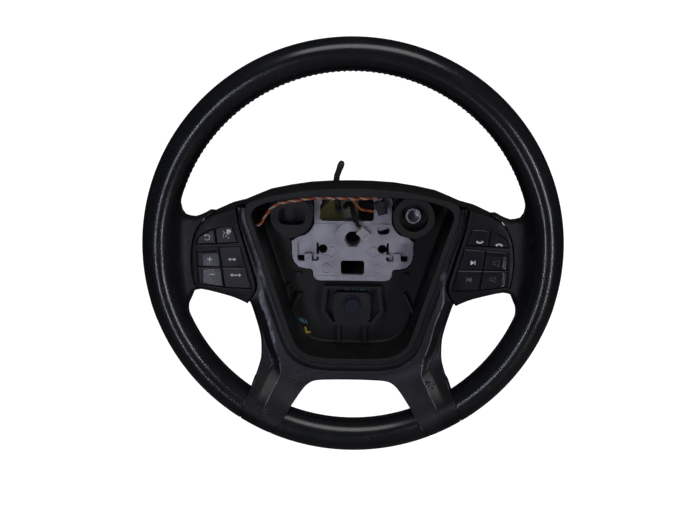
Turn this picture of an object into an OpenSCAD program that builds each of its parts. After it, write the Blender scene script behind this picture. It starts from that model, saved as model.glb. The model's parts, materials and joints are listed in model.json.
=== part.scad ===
// Car steering wheel with its airbag taken off: a cast armature, leather grips,
// a moulded spoke trim, a rear cover, a well liner and two pods of push keys.
// Shapes are worked out in wheel coordinates: x right, y up, z towards the driver,
// with z = 0 on the middle plane of the rim. upright() then stands the wheel up,
// its driver side facing -Y, and puts the origin on the rear face of the hub.

/* [Rim] */
// Outside diameter of the rim
rim_d = 385; // [375:1:395]
// Width of the grip, measured along the radius
grip_w = 30; // [28:0.5:32]
// Depth of the grip, front to back
grip_t = 35; // [33:0.5:37]
// Diameter of the cast ring inside the grip
core_d = 12; // [10:0.5:13]
// Angle from straight down to the lower end of a trim collar, at the inside of the rim
low_seam = 21; // [19:0.5:22]
// Angle from straight down to the upper end of a trim collar, at the inside of the rim
high_seam = 35.5; // [34.5:0.5:36.5]
// How far each seam leans over the width of the grip, in degrees
seam_lean = 2.8; // [2:0.1:3.4]

/* [Hub] */
// Depth from the middle plane of the rim to the front of the hub plate
dish = 59; // [57:0.5:61]
// Thickness of the hub plate
plate_t = 6; // [5:0.5:7]
// Diameter of the bore for the column shaft
bore_d = 14.5; // [13.5:0.5:15.5]
// Outside diameter of the hub boss
boss_d = 36; // [34:1:38]
// Length of the hub boss
boss_l = 20; // [18:0.5:21]
// Thickness of the cast arms
arm_t = 6; // [5:0.5:7]
// Width of the cast arms
arm_w = 14; // [12:0.5:16]

/* [Body] */
// Height of the hood above the hub centre
hood_top = 56; // [54:0.5:58]
// Distance from the hub centre to the lower edge of the trim
trim_bottom = 128.5; // [126:0.5:130]
// Half width of the waist of the legs
waist_x = 85; // [83:0.5:87]
// Reach of a switch pod from the hub centre
pod_reach = 149; // [147.5:0.5:150]
// Depth of the trim face behind the middle plane of the rim
trim_face = 7; // [6:0.5:8]
// Wall of the moulded covers
wall = 2.6; // [2.2:0.1:3]
// Depth of the rear cover's back behind the middle plane of the rim
cover_back = 79; // [78:0.5:82]
// Radius of the column opening in the rear cover
column_r = 41; // [38:0.5:42]

/* [Well] */
// Height of the top of the airbag well
well_top = 48; // [46:0.5:49]
// Distance from the hub centre down to the bottom of the well
well_bottom = 107; // [105:0.5:109]
// Half width of the well at its shoulders
well_half = 93; // [91:0.5:94]
// Width of the band round the well
band_w = 6; // [5:0.25:6.5]
// Width of the groove outside the band
groove_w = 5; // [4.5:0.25:5.5]
// Depth of the liner's floor behind the middle plane of the rim
floor_depth = 62; // [61:0.25:62.5]

/* [Keys] */
// Travel of a key
key_travel = 1.2; // [0.8:0.1:1.4]
// Gap between a key and its frame
key_gap = 0.3; // [0.25:0.05:0.45]
// How far the keys stand proud of the pod
key_proud = 1.2; // [0.8:0.1:1.6]

/* [Hidden] */
RIGHT_KEYS = ["phone_accept", "phone_end", "next", "volume_up", "previous", "volume_down"];
LEFT_KEYS = ["cruise", "resume", "gap_short", "plus", "gap_long", "minus"];
$fn = 48;
gap = 0.3;
rim_r = rim_d / 2;
half_w = grip_w / 2;
half_t = grip_t / 2;
ring_r = rim_r - half_w;
rim_in = rim_r - grip_w;
plate_front = -dish;
plate_back = -dish - plate_t;
boss_front = -dish + 2;
boss_back = boss_front - boss_l;
band_face = -trim_face - 4;
flange_t = 2.5;
groove_floor = -trim_face - 7;
ledge_t = 2.5;
side_z = 20;
pod_face = -2;
pod_back = -19;
floor_z = -floor_depth;
floor_t = 2.5;

function clamp(t) = max(0, min(1, t));
function ease(t) = let (c = clamp(t)) c * c * (3 - 2 * c);
function mix(a, b, t) = a + (b - a) * t;
// A point at angle a from straight down, turning towards +x
function at(a, r) = [r * sin(a), -r * cos(a)];
function polar(p) = [atan2(p.x, -p.y), norm(p)];
function as_polar(list) = [for (p = list) polar(p)];
function flip(list) = [for (i = [len(list) - 1:-1:0]) list[i]];
function without_end(list) = [for (i = [0:len(list) - 2]) list[i]];
function without_start(list) = [for (i = [1:len(list) - 1]) list[i]];

// One point of a smooth curve through four neighbours
function between(a, b, c, d, t) =
    0.5 * (2 * b + (c - a) * t + (2 * a - 5 * b + 4 * c - d) * t * t + (3 * b - a - 3 * c + d) * t * t * t);
// A smooth curve through a list of points, with n steps from each point to the next
function smooth(p, n) = concat(
    [for (i = [0:len(p) - 2], k = [0:n - 1])
        between(p[max(i - 1, 0)], p[i], p[i + 1], p[min(i + 2, len(p) - 1)], k / n)],
    [p[len(p) - 1]]);
// The outward direction at point i of an anticlockwise line with neighbours a and b
function outward(a, b) = [(b - a).y, -(b - a).x] / norm(b - a);
// A half outline moved outwards by d, where its ends lie on the mirror plane
function outset(p, d) = [for (i = [0:len(p) - 1])
    p[i] + d * outward(i == 0 ? [-p[1].x, p[1].y] : p[i - 1],
                       i == len(p) - 1 ? [-p[i - 1].x, p[i - 1].y] : p[i + 1])];
// A closed anticlockwise outline moved inwards by d
function inset(p, d) = [for (i = [0:len(p) - 1])
    p[i] - d * outward(p[(i + len(p) - 1) % len(p)], p[(i + 1) % len(p)])];
// The radius of an outline, given as polar points, at angle a on either side
function radius(outline, a) = lookup(abs(a), outline);
// A half list of [angle, radius], continued on the other side of straight down
function both_sides(half) = concat([for (p = flip(half)) if (p.x > 0) [-p.x, p.y]], half);
// A section drawn as [radius, z] points, set at angle a
function section(a, list) = [for (p = list) [p.x * sin(a), -p.x * cos(a), p.y]];
function lifted(list, z) = [for (p = list) [p.x, p.y, z]];

// Skin over rows of points; each row turns anticlockwise as seen from the next
module skin(rows, loop = false) {
    m = len(rows[0]);
    n = len(rows);
    sides = [for (i = [0:n - (loop ? 1 : 2)], j = [0:m - 1])
        let (a = i * m + j, b = i * m + (j + 1) % m,
             c = (i + 1) % n * m + (j + 1) % m, d = (i + 1) % n * m + j)
        each [[a, c, b], [a, d, c]]];
    ends = loop ? [] : [[for (j = [0:m - 1]) j], [for (j = [m - 1:-1:0]) (n - 1) * m + j]];
    polyhedron([for (row = rows) each row], concat(sides, ends));
}
// A round cord along a route
function cross_at(p, i) = let (
    t = p[min(i + 1, len(p) - 1)] - p[max(i - 1, 0)],
    d = t / norm(t),
    u = cross(d, abs(d.z) < 0.8 ? [0, 0, 1] : [0, 1, 0]),
    v = u / norm(u))
    [v, cross(d, v)];
module cord(route, d, sides) {
    skin([for (i = [0:len(route) - 1]) let (f = cross_at(route, i))
        [for (k = [0:sides - 1]) route[i] + d / 2 * (cos(k * 360 / sides) * f[0] + sin(k * 360 / sides) * f[1])]]);
}
module slab(low, high) { translate([0, 0, low]) linear_extrude(high - low) children(); }
module both() {
    children();
    mirror([1, 0, 0]) children();
}
module upright() { rotate([90, 0, 0]) translate([0, 0, -boss_back]) children(); }
module rounded(w, h, r) {
    square([w - 2 * r, h], center = true);
    square([w, h - 2 * r], center = true);
    for (x = [-1, 1], y = [-1, 1]) translate([x * (w / 2 - r), y * (h / 2 - r)]) circle(r);
}
// A rounded window given by its corners
module window(x0, x1, y0, y1, r) { translate([(x0 + x1) / 2, (y0 + y1) / 2]) rounded(x1 - x0, y1 - y0, r); }

// Half outlines, from straight down round to straight up

well_half_line = smooth([
    [0, -well_bottom], [16, -well_bottom], [32, -well_bottom + 1.2], [42, -well_bottom + 4.5],
    [50, -well_bottom + 10.5], [55, -well_bottom + 19], [62, -well_bottom + 40],
    [well_half - 19, -30], [well_half - 9.5, 0], [well_half - 1, 25], [well_half, 31],
    [well_half - 3, 36.5], [well_half - 10, 40.5], [66, well_top - 3], [46, well_top - 0.8],
    [23, well_top], [0, well_top]], 2);
well_edge = as_polar(well_half_line);
band_edge = as_polar(outset(well_half_line, band_w));
groove_edge = as_polar(outset(well_half_line, band_w + groove_w));

corner = [96.5, -52];
shoulder = [106.3, 39];
// Lower edge of the trim, from the middle to the lower seam
bottom_line = smooth([
    [0, -trim_bottom], [18, -trim_bottom - 0.2], [34, -trim_bottom - 1], [42, -trim_bottom - 4.5],
    [49, -trim_bottom - 11.5], at(low_seam, rim_in)], 2);
// Outer edge of a leg, from the upper seam past the waist to the corner of the pod
leg_line = smooth([
    at(high_seam, rim_in), [waist_x + 3, -120], [waist_x + 0.7, -109], [waist_x, -98],
    [waist_x + 0.8, -87], [waist_x + 3.2, -75], [waist_x + 7.2, -62], corner], 2);
// Where the trim meets the pod
parting_line = smooth([
    corner, [92.5, -45.5], [89.5, -40], [88.8, -35], [90, -28], [92.8, -18], [98, 0],
    [102.5, 16], [105, 28.5], shoulder], 1);
// Outer edge of a pod
pod_line = smooth([
    corner, [105, -48], [113, -45], [124, -42], [134, -39.5], [pod_reach - 7, -38],
    [pod_reach - 2.5, -34], [pod_reach - 0.5, -22], [pod_reach, -10], [pod_reach - 1, 2],
    [pod_reach - 3.5, 13], [pod_reach - 7.5, 21], [pod_reach - 12, 27], [pod_reach - 17, 30.5],
    [120, 35.5], shoulder], 2);
// Front edge of the hood, to straight up
hood_line = smooth([
    shoulder, [93, 44], [77, 48.5], [58, hood_top - 4], [38, hood_top - 1.2],
    [18, hood_top - 0.2], [0, hood_top]], 2);
hood_edge = as_polar(hood_line);

// The collar, as polar points along both seams and the rim between them
seam_steps = 3;
low_out = low_seam + seam_lean;
high_out = high_seam - seam_lean;
collar_edge = concat(
    [for (k = [0:seam_steps]) [mix(low_seam, low_out, k / seam_steps), mix(rim_in, rim_r, k / seam_steps)]],
    [for (k = [1:2]) [mix(low_out, high_out, k / 3), rim_r]],
    [for (k = [0:seam_steps]) [mix(high_out, high_seam, k / seam_steps), mix(rim_r, rim_in, k / seam_steps)]]);
step = 0.06;
leg_edge = concat(
    without_end(as_polar(bottom_line)), [[low_seam - step, rim_in - gap]],
    collar_edge,
    [[high_seam + step, rim_in - gap]], without_start(as_polar(leg_line)));
trim_edge = concat(leg_edge, without_start(as_polar(parting_line)));
every_other = [for (i = [0:2:len(pod_line) - 1]) pod_line[i]];
hood_points = [for (i = [0:2:len(hood_line) - 1]) hood_line[i]];
cover_edge = concat(leg_edge, without_start(as_polar(every_other)), without_start(as_polar(hood_points)));

// Surfaces of the legs

function rim_z(r) = half_t * sqrt(max(0, 1 - pow((r - ring_r) / half_w, 2)));
function on_collar(a) = abs(a) >= low_seam - step / 2 && abs(a) <= high_seam + step / 2;
leg_end = polar(corner).x;
hood_start = polar(shoulder).x;
// Height of the joint between the trim and the rear cover on the outer edge
function joint_z(a, r) = abs(a) > 58 ? -side_z : -side_z * (1 - ease((r - 138) / (rim_in - 138)));
ramp_start = 125;
function ramp_z(r) = mix(-trim_face, half_t, ease((r - ramp_start) / (ring_r - ramp_start)));
// Radius of the crease down the middle of a leg
crease = as_polar(flip([
    [104, 38], [92.5, 0], [85.5, -30], [85.5, -50], [78.8, -69], [74, -89], [71, -98.5], [68, -108.5],
    [66.5, -118.5], [66.3, -128.5], [57, -133], [46, -131], [20, -124], [0, -123]]));
function crease_drop(a, r) =
    abs(a) < 27.2 ? 0
    : 0.5 * max(0, min(r - radius(crease, a), 14)) * (1 - ease((r - 135) / 30)) * (1 - ease((abs(a) - 58) / 5));
round_r = 4;
function trim_low(a, edge) = on_collar(a) ? 0 : abs(a) > leg_end ? pod_face - 10 : joint_z(a, edge);
function trim_z(a, r, edge) =
    on_collar(a) ? (r < ring_r ? ramp_z(r) : rim_z(r))
    : let (d = clamp((edge - r) / (abs(a) > leg_end ? 1.2 : round_r)))
        mix(trim_low(a, edge), ramp_z(r) - crease_drop(a, r), sqrt(1 - pow(1 - d, 2)));
function trim_levels(a, edge) =
    let (inner = radius(groove_edge, a) + 1.2,
         middle = on_collar(a) ? mix(inner, ring_r, 0.6) : radius(crease, a),
         kept = max(mix(inner, edge, 0.2), min(mix(inner, edge, 0.7), middle)))
    concat([for (k = [0:1]) mix(inner, kept, k / 2)],
           [for (k = [0:5]) mix(kept, edge, sin(18 * k))]);
function trim_section(a, edge) =
    let (levels = trim_levels(a, edge),
         n = len(levels),
         low = trim_low(a, edge),
         ledge = radius(band_edge, a) + gap,
         groove = radius(groove_edge, a),
         side = min(wall, (edge - groove) * 0.35),
         limit = on_collar(a) ? min(edge, rim_r - wall) : edge - side)
    concat(
        [[ledge, groove_floor - ledge_t], [ledge, groove_floor], [groove - 0.6, groove_floor],
         [groove, -trim_face - 1]],
        [for (r = levels) [r, trim_z(a, r, edge)]],
        [for (k = [n - 1, n - 3, 3, 0])
            [min(levels[k], limit), max(trim_z(a, levels[k], edge) - wall, low + 0.03 * (n - 1 - k))]],
        [[groove + 0.6, groove_floor - ledge_t]]);

module spoke_trim() {
    color([0.2, 0.21, 0.23]) upright()
        skin([for (p = both_sides(trim_edge)) section(p.x, trim_section(p.x, p.y))]);
}

// Grips

module grip_ring(from, to) {
    rotate([0, 0, from - 90]) rotate_extrude(angle = to - from, $fn = 96) translate([ring_r, 0]) difference() {
        polygon([for (i = [0:27]) [half_w * cos(i * 360 / 28), half_t * sin(i * 360 / 28)]]);
        circle(d = core_d + cast_gap);
    }
}
seam_gap = 0.3;
far = rim_r * 2;
// The wedge under both seams of one kind, widened by a turn to clear the trim
module seam_wedge(inside, outside) {
    inner = at(inside, rim_in);
    outer = at(outside, rim_r);
    reach = outer + (outer - inner);
    back = inner - (outer - inner);
    slab(-half_t - 1, half_t + 1) polygon([
        [-back.x, back.y], [-reach.x, reach.y], [-reach.x, -far], [reach.x, -far], reach, back]);
}
// The leather root beside a pod, as rows of [x, half height, lower z, upper z]
stub_mid = -4;
module stub() {
    rows = [[pod_reach + gap, 31.9, -29, -3], [pod_reach + 3, 32.3, -27, -2.6], [pod_reach + 6, 33.8, -24, -1.8],
            [pod_reach + 9, 36.5, -21, 0], [rim_in, 40, -17, 3.5], [rim_in + 4, 44, -13.5, 8], [rim_in + 9, 49, -11, 11]];
    skin([for (r = rows) [for (k = [0:19])
        let (c = cos(k * 18), s = sin(k * 18))
        [r[0], stub_mid + r[1] * sign(c) * pow(abs(c), 0.45), (r[2] + r[3]) / 2 + (r[3] - r[2]) / 2 * sign(s) * pow(abs(s), 0.6)]]]);
}
module upper_rim_grip() {
    color([0.1, 0.1, 0.12]) upright() difference() {
        union() {
            grip_ring(high_out - 1, 361 - high_out);
            both() stub();
        }
        rotate([0, 0, -90]) core(core_d + cast_gap);
        seam_wedge(high_seam + seam_gap, high_out + seam_gap);
        both() side_arm(0.2);
    }
}
module lower_rim_grip() {
    color([0.1, 0.1, 0.12]) upright() intersection() {
        grip_ring(-low_out - 1, low_out + 1);
        seam_wedge(low_seam - seam_gap, low_out - seam_gap);
    }
}

// Armature

cast_gap = 0.1;
// A bar through centre points, as rows of a rectangle across the points' main axis
module bar(route, across, w, t) {
    skin([for (p = route) [for (c = [[-1, -1], [1, -1], [1, 1], [-1, 1]])
        p + across * c.x * w / 2 + [0, 0, c.y * t / 2]]]);
}
arm_z = plate_back - 4.5;
side_route = [[46, -11, arm_z], [60, -11, arm_z], [88, -9, arm_z + 0.2], [112, -7, -56], [140, -5, -33],
              [158, -4, -16], [ring_r - 3, -3, -2]];
module side_arm(clear) { bar(side_route, [0, 1, 0], arm_w + 2 * clear, arm_t + 2 * clear); }
low_route = [[28, -30, arm_z], [33, -42, arm_z], [57, -96, arm_z + 0.4], [65, -115, -48], [72, -134, -25],
             [79, -149, -10], [83, -155, -2]];
module low_arm() { bar(low_route, [1, 0, 0], arm_w, arm_t); }

plate_half = [
    [0, 40.5], [0, -42], [32, -42], [35.5, -41], [37.8, -37.5], [38.3, -33], [40.5, -30.5], [46, -30],
    [52.5, -28.5], [57, -24], [58.8, -19], [58.8, -6], [60, -2.5], [57.5, -2], [55, 0.5], [51, 2],
    [46, 3.5], [42, 7], [39, 11.5], [37.5, 16], [37.5, 39], [36, 40.5]];
screw_places = [[34, -37], [34.8, 35]];
module plate_outline() { both() polygon(plate_half); }
module ear_window() {
    difference() {
        window(33, 54, -22.5, -3.6, 2.5);
        window(40, 47, -24, -14.7, 0.8);
    }
}
module plate_windows() {
    window(-32, 20.3, 17.5, 38.7, 3);
    window(-11.5, 11.5, -36, -21.8, 2.5);
    both() ear_window();
    both() translate([29, -10.2]) circle(4.4);
    for (x = [-1.2, 1.2]) translate([29.7 + x, 9.5]) circle(5.1);
    translate([29.7, 9.5]) square([2.4, 10.2], center = true);
}
module ridge(points, w) {
    for (i = [0:len(points) - 2]) let (a = points[i], b = points[i + 1]) {
        translate(a) rotate(atan2(b.y - a.y, b.x - a.x)) translate([0, -w / 2]) square([norm(b - a), w]);
        translate(b) circle(d = w + 0.1);
    }
}
module armature() {
    color([0.68, 0.66, 0.73]) upright() difference() {
        union() {
            slab(plate_back, plate_front) difference() {
                plate_outline();
                plate_windows();
            }
            slab(plate_front - 1, plate_front + 1.2) {
                difference() {
                    window(-38, -15, 0, 15, 3);
                    circle(d = boss_d);
                }
                difference() {
                    window(15, 38, 0, 15, 3);
                    circle(d = boss_d);
                    for (x = [-1.2, 1.2]) translate([29.7 + x, 9.5]) circle(5.1);
                    translate([29.7, 9.5]) square([2.4, 10.2], center = true);
                }
                both() ridge([[36, -16.5], [27, -17], [19.5, -19.5], [11.5, -12.5]], 2.6);
                both() translate([20.3, -10.9]) circle(3.2);
                both() translate([24.8, -30.2]) difference() {
                    circle(5);
                    circle(4);
                }
                ridge([[-36, -37.8], [36, -37.8]], 1.6);
                both() translate([43.5, -18.7]) difference() {
                    rounded(7, 7, 0.8);
                    circle(1.8);
                }
            }
            slab(arm_z - arm_t / 2, plate_back + 0.5) {
                difference() {
                    window(-39, 39, -41, 14, 3);
                    window(-35.5, 35.5, -37.5, 10.5, 3);
                }
                both() ridge([[10, 4], [36, 12]], 4);
                both() ridge([[10, -10], [34, -36]], 4);
                both() window(36, 60, -18, -4, 1);
                both() for (p = screw_places) translate(p) circle(4.2);
            }
            both() side_arm(0);
            both() low_arm();
        }
        translate([0, 0, boss_back - 1]) cylinder(d = boss_d + cast_gap, h = boss_l + 2);
        core(core_d + cast_gap);
        both() for (p = screw_places) translate([p.x, p.y, boss_back]) cylinder(d = screw_d + cast_gap, h = 12);
    }
}
// The boss of the hub and the ring in the rim, which the casting holds
hex_depth = 4;
hex_room = 0.3;
module core(d) { rotate_extrude($fn = 96) translate([ring_r, 0]) circle(d = d); }
module rim_core() { color([0.5, 0.5, 0.52]) upright() core(core_d); }
module hub_boss() {
    color([0.7, 0.68, 0.74]) upright() difference() {
        translate([0, 0, boss_back]) cylinder(d = boss_d, h = boss_l);
        translate([0, 0, boss_back - 1]) cylinder(d = bore_d, h = boss_l + 2);
        translate([0, 0, boss_front - hex_depth])
            cylinder(r = (bore_d / 2 + hex_room) / cos(30), h = hex_depth + 1, $fn = 6);
    }
}

// Rear cover

screw_d = 4;
cover_round = 8;
// The cover's back is flat out to the first of these radii, then rises to the rim
back_bends = [100, 122];
function back_z(r) = lookup(r, [
    [back_bends[0], -cover_back], [back_bends[1], -cover_back + 6], [ring_r, -half_t]]);
function front_z(a, r) =
    on_collar(a) ? -gap
    : abs(a) < leg_end + 0.1 ? joint_z(a, r) - gap
    : mix(pod_back - gap, band_face - flange_t - gap, clamp((abs(a) - hood_start - 0.5) / 6));
// The back panel ends inside the wall of the column ring
ring_wall = 3;
panel_in = column_r + ring_wall / 2;
seam_wall = 0.5;
function panel_r(edge, bend, share) = min(bend, mix(panel_in, edge, share));
function cover_section(a, edge) =
    let (front = front_z(a, edge),
         flare = 4 * ease((abs(a) - hood_start) / 15),
         turns = [0, 20, 40, 62, 90],
         turn_r = on_collar(a) ? half_w : cover_round,
         outside = [for (t = turns) let (r = edge - turn_r * (1 - cos(t)))
             [r, on_collar(a) ? min(front, r > ring_r ? -rim_z(r) : back_z(r)) : mix(front, back_z(r), sin(t))]],
         reach = edge - turn_r,
         panel = [for (r = [panel_r(reach, back_bends[1], 0.96), panel_r(reach, back_bends[0], 0.8), panel_in])
             [r, back_z(r)]],
         shell = concat([for (i = [0:4]) outside[i] + [flare * sin(turns[i] * 2), 0]], panel),
         limit = edge - (on_collar(a) && edge < rim_r - 0.01 ? seam_wall : wall),
         inner = concat(
             [for (i = [0:4]) [min(outside[i].x, limit) + flare * sin(turns[i] * 2),
                               min(outside[i].y + (i == 0 && !on_collar(a) ? 0 : wall), front - 0.03 * i)]],
             [for (p = panel) [p.x, p.y + wall]]))
    concat(flip(inner), shell);
module rear_cover() {
    half = cover_edge;
    rows = concat([for (p = flip(half)) if (p.x > 0 && p.x < 179.9) [-p.x, p.y]], half);
    color([0.13, 0.13, 0.13]) upright() difference() {
        union() {
            skin([for (p = rows) section(p.x, cover_section(p.x, p.y))], loop = true);
            slab(-cover_back - 4, -cover_back + wall + 0.4) difference() {
                circle(column_r + ring_wall);
                circle(column_r);
            }
            both() for (p = screw_places) translate([p.x, p.y, -cover_back + 1]) cylinder(d = 9, h = boss_up);
        }
        both() for (p = screw_places) translate([p.x, p.y, -cover_back - 5]) cylinder(d = screw_d + 0.6, h = 20);
        both() arm_notch();
    }
}
// The open notch in which a side arm leaves the cover
notch_rise = 9;
module arm_notch() {
    bar([for (p = side_route) if (p.x > 120) p + [0, 0, notch_rise]], [0, 1, 0], arm_w + 2, arm_t + 2 + 2 * notch_rise);
}
boss_up = arm_z - arm_t / 2 - 0.2 + cover_back - 1;
module cover_screws() {
    color([0.35, 0.35, 0.37]) upright() both() for (p = screw_places) translate([p.x, p.y, -cover_back]) {
        translate([0, 0, -2.4]) cylinder(d = 8, h = 2.4);
        translate([0, 0, -0.1]) cylinder(d = screw_d, h = 11);
    }
}

// Well liner

// The floor's edge keeps this far from the hub plate
plate_gap = 1.5;
floor_in = 30;
function flange_reach(a) =
    abs(a) < hood_start - 1 ? radius(band_edge, a)
    : mix(radius(band_edge, a), radius(hood_edge, a) - gap, clamp((abs(a) - hood_start + 1) / 5));
function liner_section(a, w) =
    let (flange = flange_reach(a), cut = floor_in)
    [[cut, floor_z - floor_t], [cut, floor_z], [w - 3, floor_z], [w - 1.3, floor_z + 1], [w - 0.6, floor_z + 3.5],
     [w, band_face - 1], [w + 0.8, band_face], [flange - 0.8, band_face], [flange, band_face - 0.8],
     [flange, band_face - flange_t], [w + 2.2, band_face - flange_t], [w + 1.6, floor_z + 2],
     [w - 0.2, floor_z - 1.6], [w - 2, floor_z - floor_t]];
socket = [57.5, 27];
socket_r = 13.5;
bush_d = 14.5;
bush_top = -37;
socket_face = -27;
block = [[-28, -46], [-31, -72], [-22, -85], [22, -85], [31, -72], [28, -46]];
block_face = -51;
module well_liner() {
    rows = concat([for (p = flip(well_edge)) if (p.x > 0 && p.x < 179.9) [-p.x, p.y]], well_edge);
    color([0.12, 0.12, 0.13]) upright() difference() {
        union() {
            skin([for (p = rows) section(p.x, liner_section(p.x, p.y))], loop = true);
            both() translate([socket.x, socket.y, floor_z - floor_t])
                cylinder(r = socket_r + 6, h = socket_face - floor_z + floor_t);
            both() translate([52.7, -36.2, floor_z - 1]) cylinder(r = 3, h = 7);
            translate([-60.5, -49.7, floor_z - 1]) cylinder(r = 5, h = 5);
            slab(floor_z - 1, floor_z + 8) both() ridge([[51, -54], [63, -79]], 2.4);
            slab(floor_z - 1, block_face) polygon(block);
            slab(floor_z - 1, floor_z + 6) both() ridge([[13, -80], [13, -104]], 3.5);
        }
        slab(floor_z - floor_t - 1, floor_z + 12) offset(delta = plate_gap) plate_outline();
        translate([wire_hole.x - 4, wire_hole.y, wire_hole.z]) rotate([0, 90, 0]) cylinder(d = wire_d + 1, h = 9);
        translate([socket.x, socket.y, bush_top - 6]) cylinder(r = socket_r, h = 30);
        translate([socket.x, socket.y, floor_z + 2]) cylinder(d = bush_d + 0.1, h = 30);
        slab(-44, 0) window(-socket.x - 12, -socket.x + 13, socket.y - 8, socket.y + 8, 6);
        translate([-60.5, -49.7, floor_z + 1]) cylinder(r = 1.2, h = 5);
        slab(floor_z + 2, 0) difference() {
            scale(0.86) translate([0, -10]) polygon(block);
            translate([0, -67]) rounded(36, 30, 5);
        }
        translate([0, -64, floor_z + 1]) cylinder(d = 8.1, h = 20);
    }
}
module right_guide_bush() {
    color([0.3, 0.3, 0.31]) upright() translate([socket.x, socket.y, floor_z + 2]) difference() {
        cylinder(d = bush_d, h = bush_top - floor_z - 2);
        translate([0, 0, 1.5]) cylinder(d = bush_d - 3, h = 40);
    }
}
module recess_screw() {
    color([0.3, 0.32, 0.36]) upright() translate([0, -64, 0]) {
        slab(floor_z + 1.5, block_face + 0.5) circle(d = 8);
        slab(block_face, block_face + 1.6) circle(9.5);
        slab(block_face + 1, block_face + 6.5) circle(7.6, $fn = 6);
    }
}

// Switch pods; each is drawn on the right and mirrored for the left

pod_loop = inset(concat(pod_line, without_end(without_start(flip(parting_line)))), 0.4);
pod_wall = 1.6;
pod_skin = 2.4;
board_z = pod_back + 6;
upper_keys = [[104.6, 6.4], [143.8, 4.4], [141.6, 11], [136.8, 15.2], [127, 19.5], [118, 21.5], [109.3, 21]];
lower_keys = [[93, -36.8], [117.5, -36], [132, -34.2], [143.2, -32.3], [143.2, 0.3], [102.7, 3], [98, -16], [93.6, -32]];
module cluster(i) { polygon(i < 2 ? upper_keys : lower_keys); }
mid_y = -16.9;
module key_cell(i) {
    top = i < 2 ? [126.6, 24] : [123.2, 6];
    low = i < 2 ? [124.2, 2] : [117.3, -40];
    side = i % 2 == 0 ? -1 : 1;
    high = i < 2 ? 40 : i < 4 ? 10 : mid_y - key_gap / 2;
    down = i < 2 ? -10 : i < 4 ? mid_y + key_gap / 2 : -60;
    intersection() {
        translate([0, down]) square([200, high - down]);
        polygon([top + [side * key_gap / 2, 0], low + [side * key_gap / 2, 0],
                 [low.x + side * 60, low.y], [top.x + side * 60, top.y]]);
    }
}
module key_shape(i, grow) {
    intersection() {
        offset(delta = grow) cluster(i);
        key_cell(i);
    }
}
flange_top = pod_face - pod_skin - 0.3;
key_top = pod_face + key_proud;
module key(i) {
    hull() {
        slab(flange_top - 1.5, key_top - 0.8) key_shape(i, 0);
        slab(key_top - 0.3, key_top) offset(delta = -1) key_shape(i, 0);
    }
    slab(flange_top - 1.5, flange_top) key_shape(i, 0.7);
}
module housing() {
    difference() {
        intersection() {
            skin([lifted(pod_loop, pod_back - 1), lifted(pod_loop, pod_face - 1.4),
                  lifted(inset(pod_loop, 0.5), pod_face - 0.4), lifted(inset(pod_loop, 2), pod_face + 0.2)]);
            slab(pod_back, pod_face) square(2 * rim_d, center = true);
        }
        slab(pod_back - 1, board_z) polygon(inset(pod_loop, pod_wall));
        slab(board_z - 0.5, pod_face - pod_skin) polygon(inset(pod_loop, pod_wall + 0.8));
        slab(pod_face - pod_skin - 1, 0) for (i = [0, 2]) offset(delta = key_gap) cluster(i);
    }
}
board_t = 1.6;
mat_t = 1;
module board() { slab(board_z - board_t, board_z) polygon(inset(pod_loop, pod_wall + 0.3)); }
module mat() {
    slab(board_z, board_z + mat_t) polygon(inset(pod_loop, pod_wall + 1.2));
    for (p = [[115, 13], [134, 10], [111, -8], [132, -8], [107, -25], [130, -25]])
        translate([p.x, p.y, board_z]) cylinder(d = 7, h = flange_top - 1.5 - key_travel - 0.3 - board_z);
}
key_tint = [0.24, 0.22, 0.27];
module right_switch_housing() { color([0.15, 0.15, 0.17]) upright() housing(); }
module left_switch_housing() { color([0.15, 0.15, 0.17]) upright() mirror([1, 0, 0]) housing(); }
module right_switch_board() { color([0.1, 0.3, 0.15]) upright() board(); }
module left_switch_board() { color([0.1, 0.3, 0.15]) upright() mirror([1, 0, 0]) board(); }
module right_key_mat() { color([0.5, 0.5, 0.5]) upright() mat(); }
module left_key_mat() { color([0.5, 0.5, 0.5]) upright() mirror([1, 0, 0]) mat(); }

// Wiring

wire_d = 3;
wire_hole = [-90, 18.8, -28];
horn_route = [
    [-94, 18.5, -28], [-88, 19, -28], [-84, 23.5, -27], [-81, 29, -26], [-76, 35, -25], [-70, 39, -25],
    [-58, 41.8, -25.2], [-46, 43.6, -25.2], [-34, 44.6, -29], [-22, 44.8, -31], [-10, 44, -33], [0, 43.2, -35],
    [10, 43, -37], [18, 43.6, -40], [23.4, 43.6, -44], [25.2, 40, -46.5]];
tail_route = [[1, 41, -37], [3, 36.4, -40], [8, 32, -43], [14, 30, -46], [20, 29, -48]];
taped_route = [[-8, 28, -80], [-6, 32, -72], [-3, 34, -62], [-0.5, 32, -53], [1, 26, -48], [3, 20, -48], [6, 13.5, -50]];
lead_d = 6;
rear_route = [[-14, 24, -74], [-15, 27, -81], [-16, 33, -86], [-17, 41, -86.3], [-17.5, 50, -86.4], [-16.5, 58, -86.2],
              [-14, 65, -86]];
module horn_wires() { color([0.8, 0.35, 0.15]) upright() cord(horn_route, wire_d, 8); }
module horn_wire_tail() { color([0.8, 0.35, 0.15]) upright() cord(tail_route, wire_d, 8); }
module taped_lead() { color([0.08, 0.08, 0.08]) upright() cord(taped_route, 5, 8); }
module rear_lead() { color([0.15, 0.15, 0.14]) upright() cord(rear_route, lead_d, 10); }
module rear_lead_cap() {
    color([0.35, 0.35, 0.33]) upright() translate(rear_route[6]) rotate([0, 0, -20]) rotate([-86, 0, 0])
        rotate_extrude() polygon([[0, 0.3], [3.2, 0.3], [3.4, 3], [3, 6.5], [1.8, 8.2], [0, 8.6]]);
}
module black_plug() {
    color([0.08, 0.08, 0.08]) upright() translate([27, 33, -47]) rotate([0, 0, 15]) cube([9, 13, 10], center = true);
}
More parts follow.
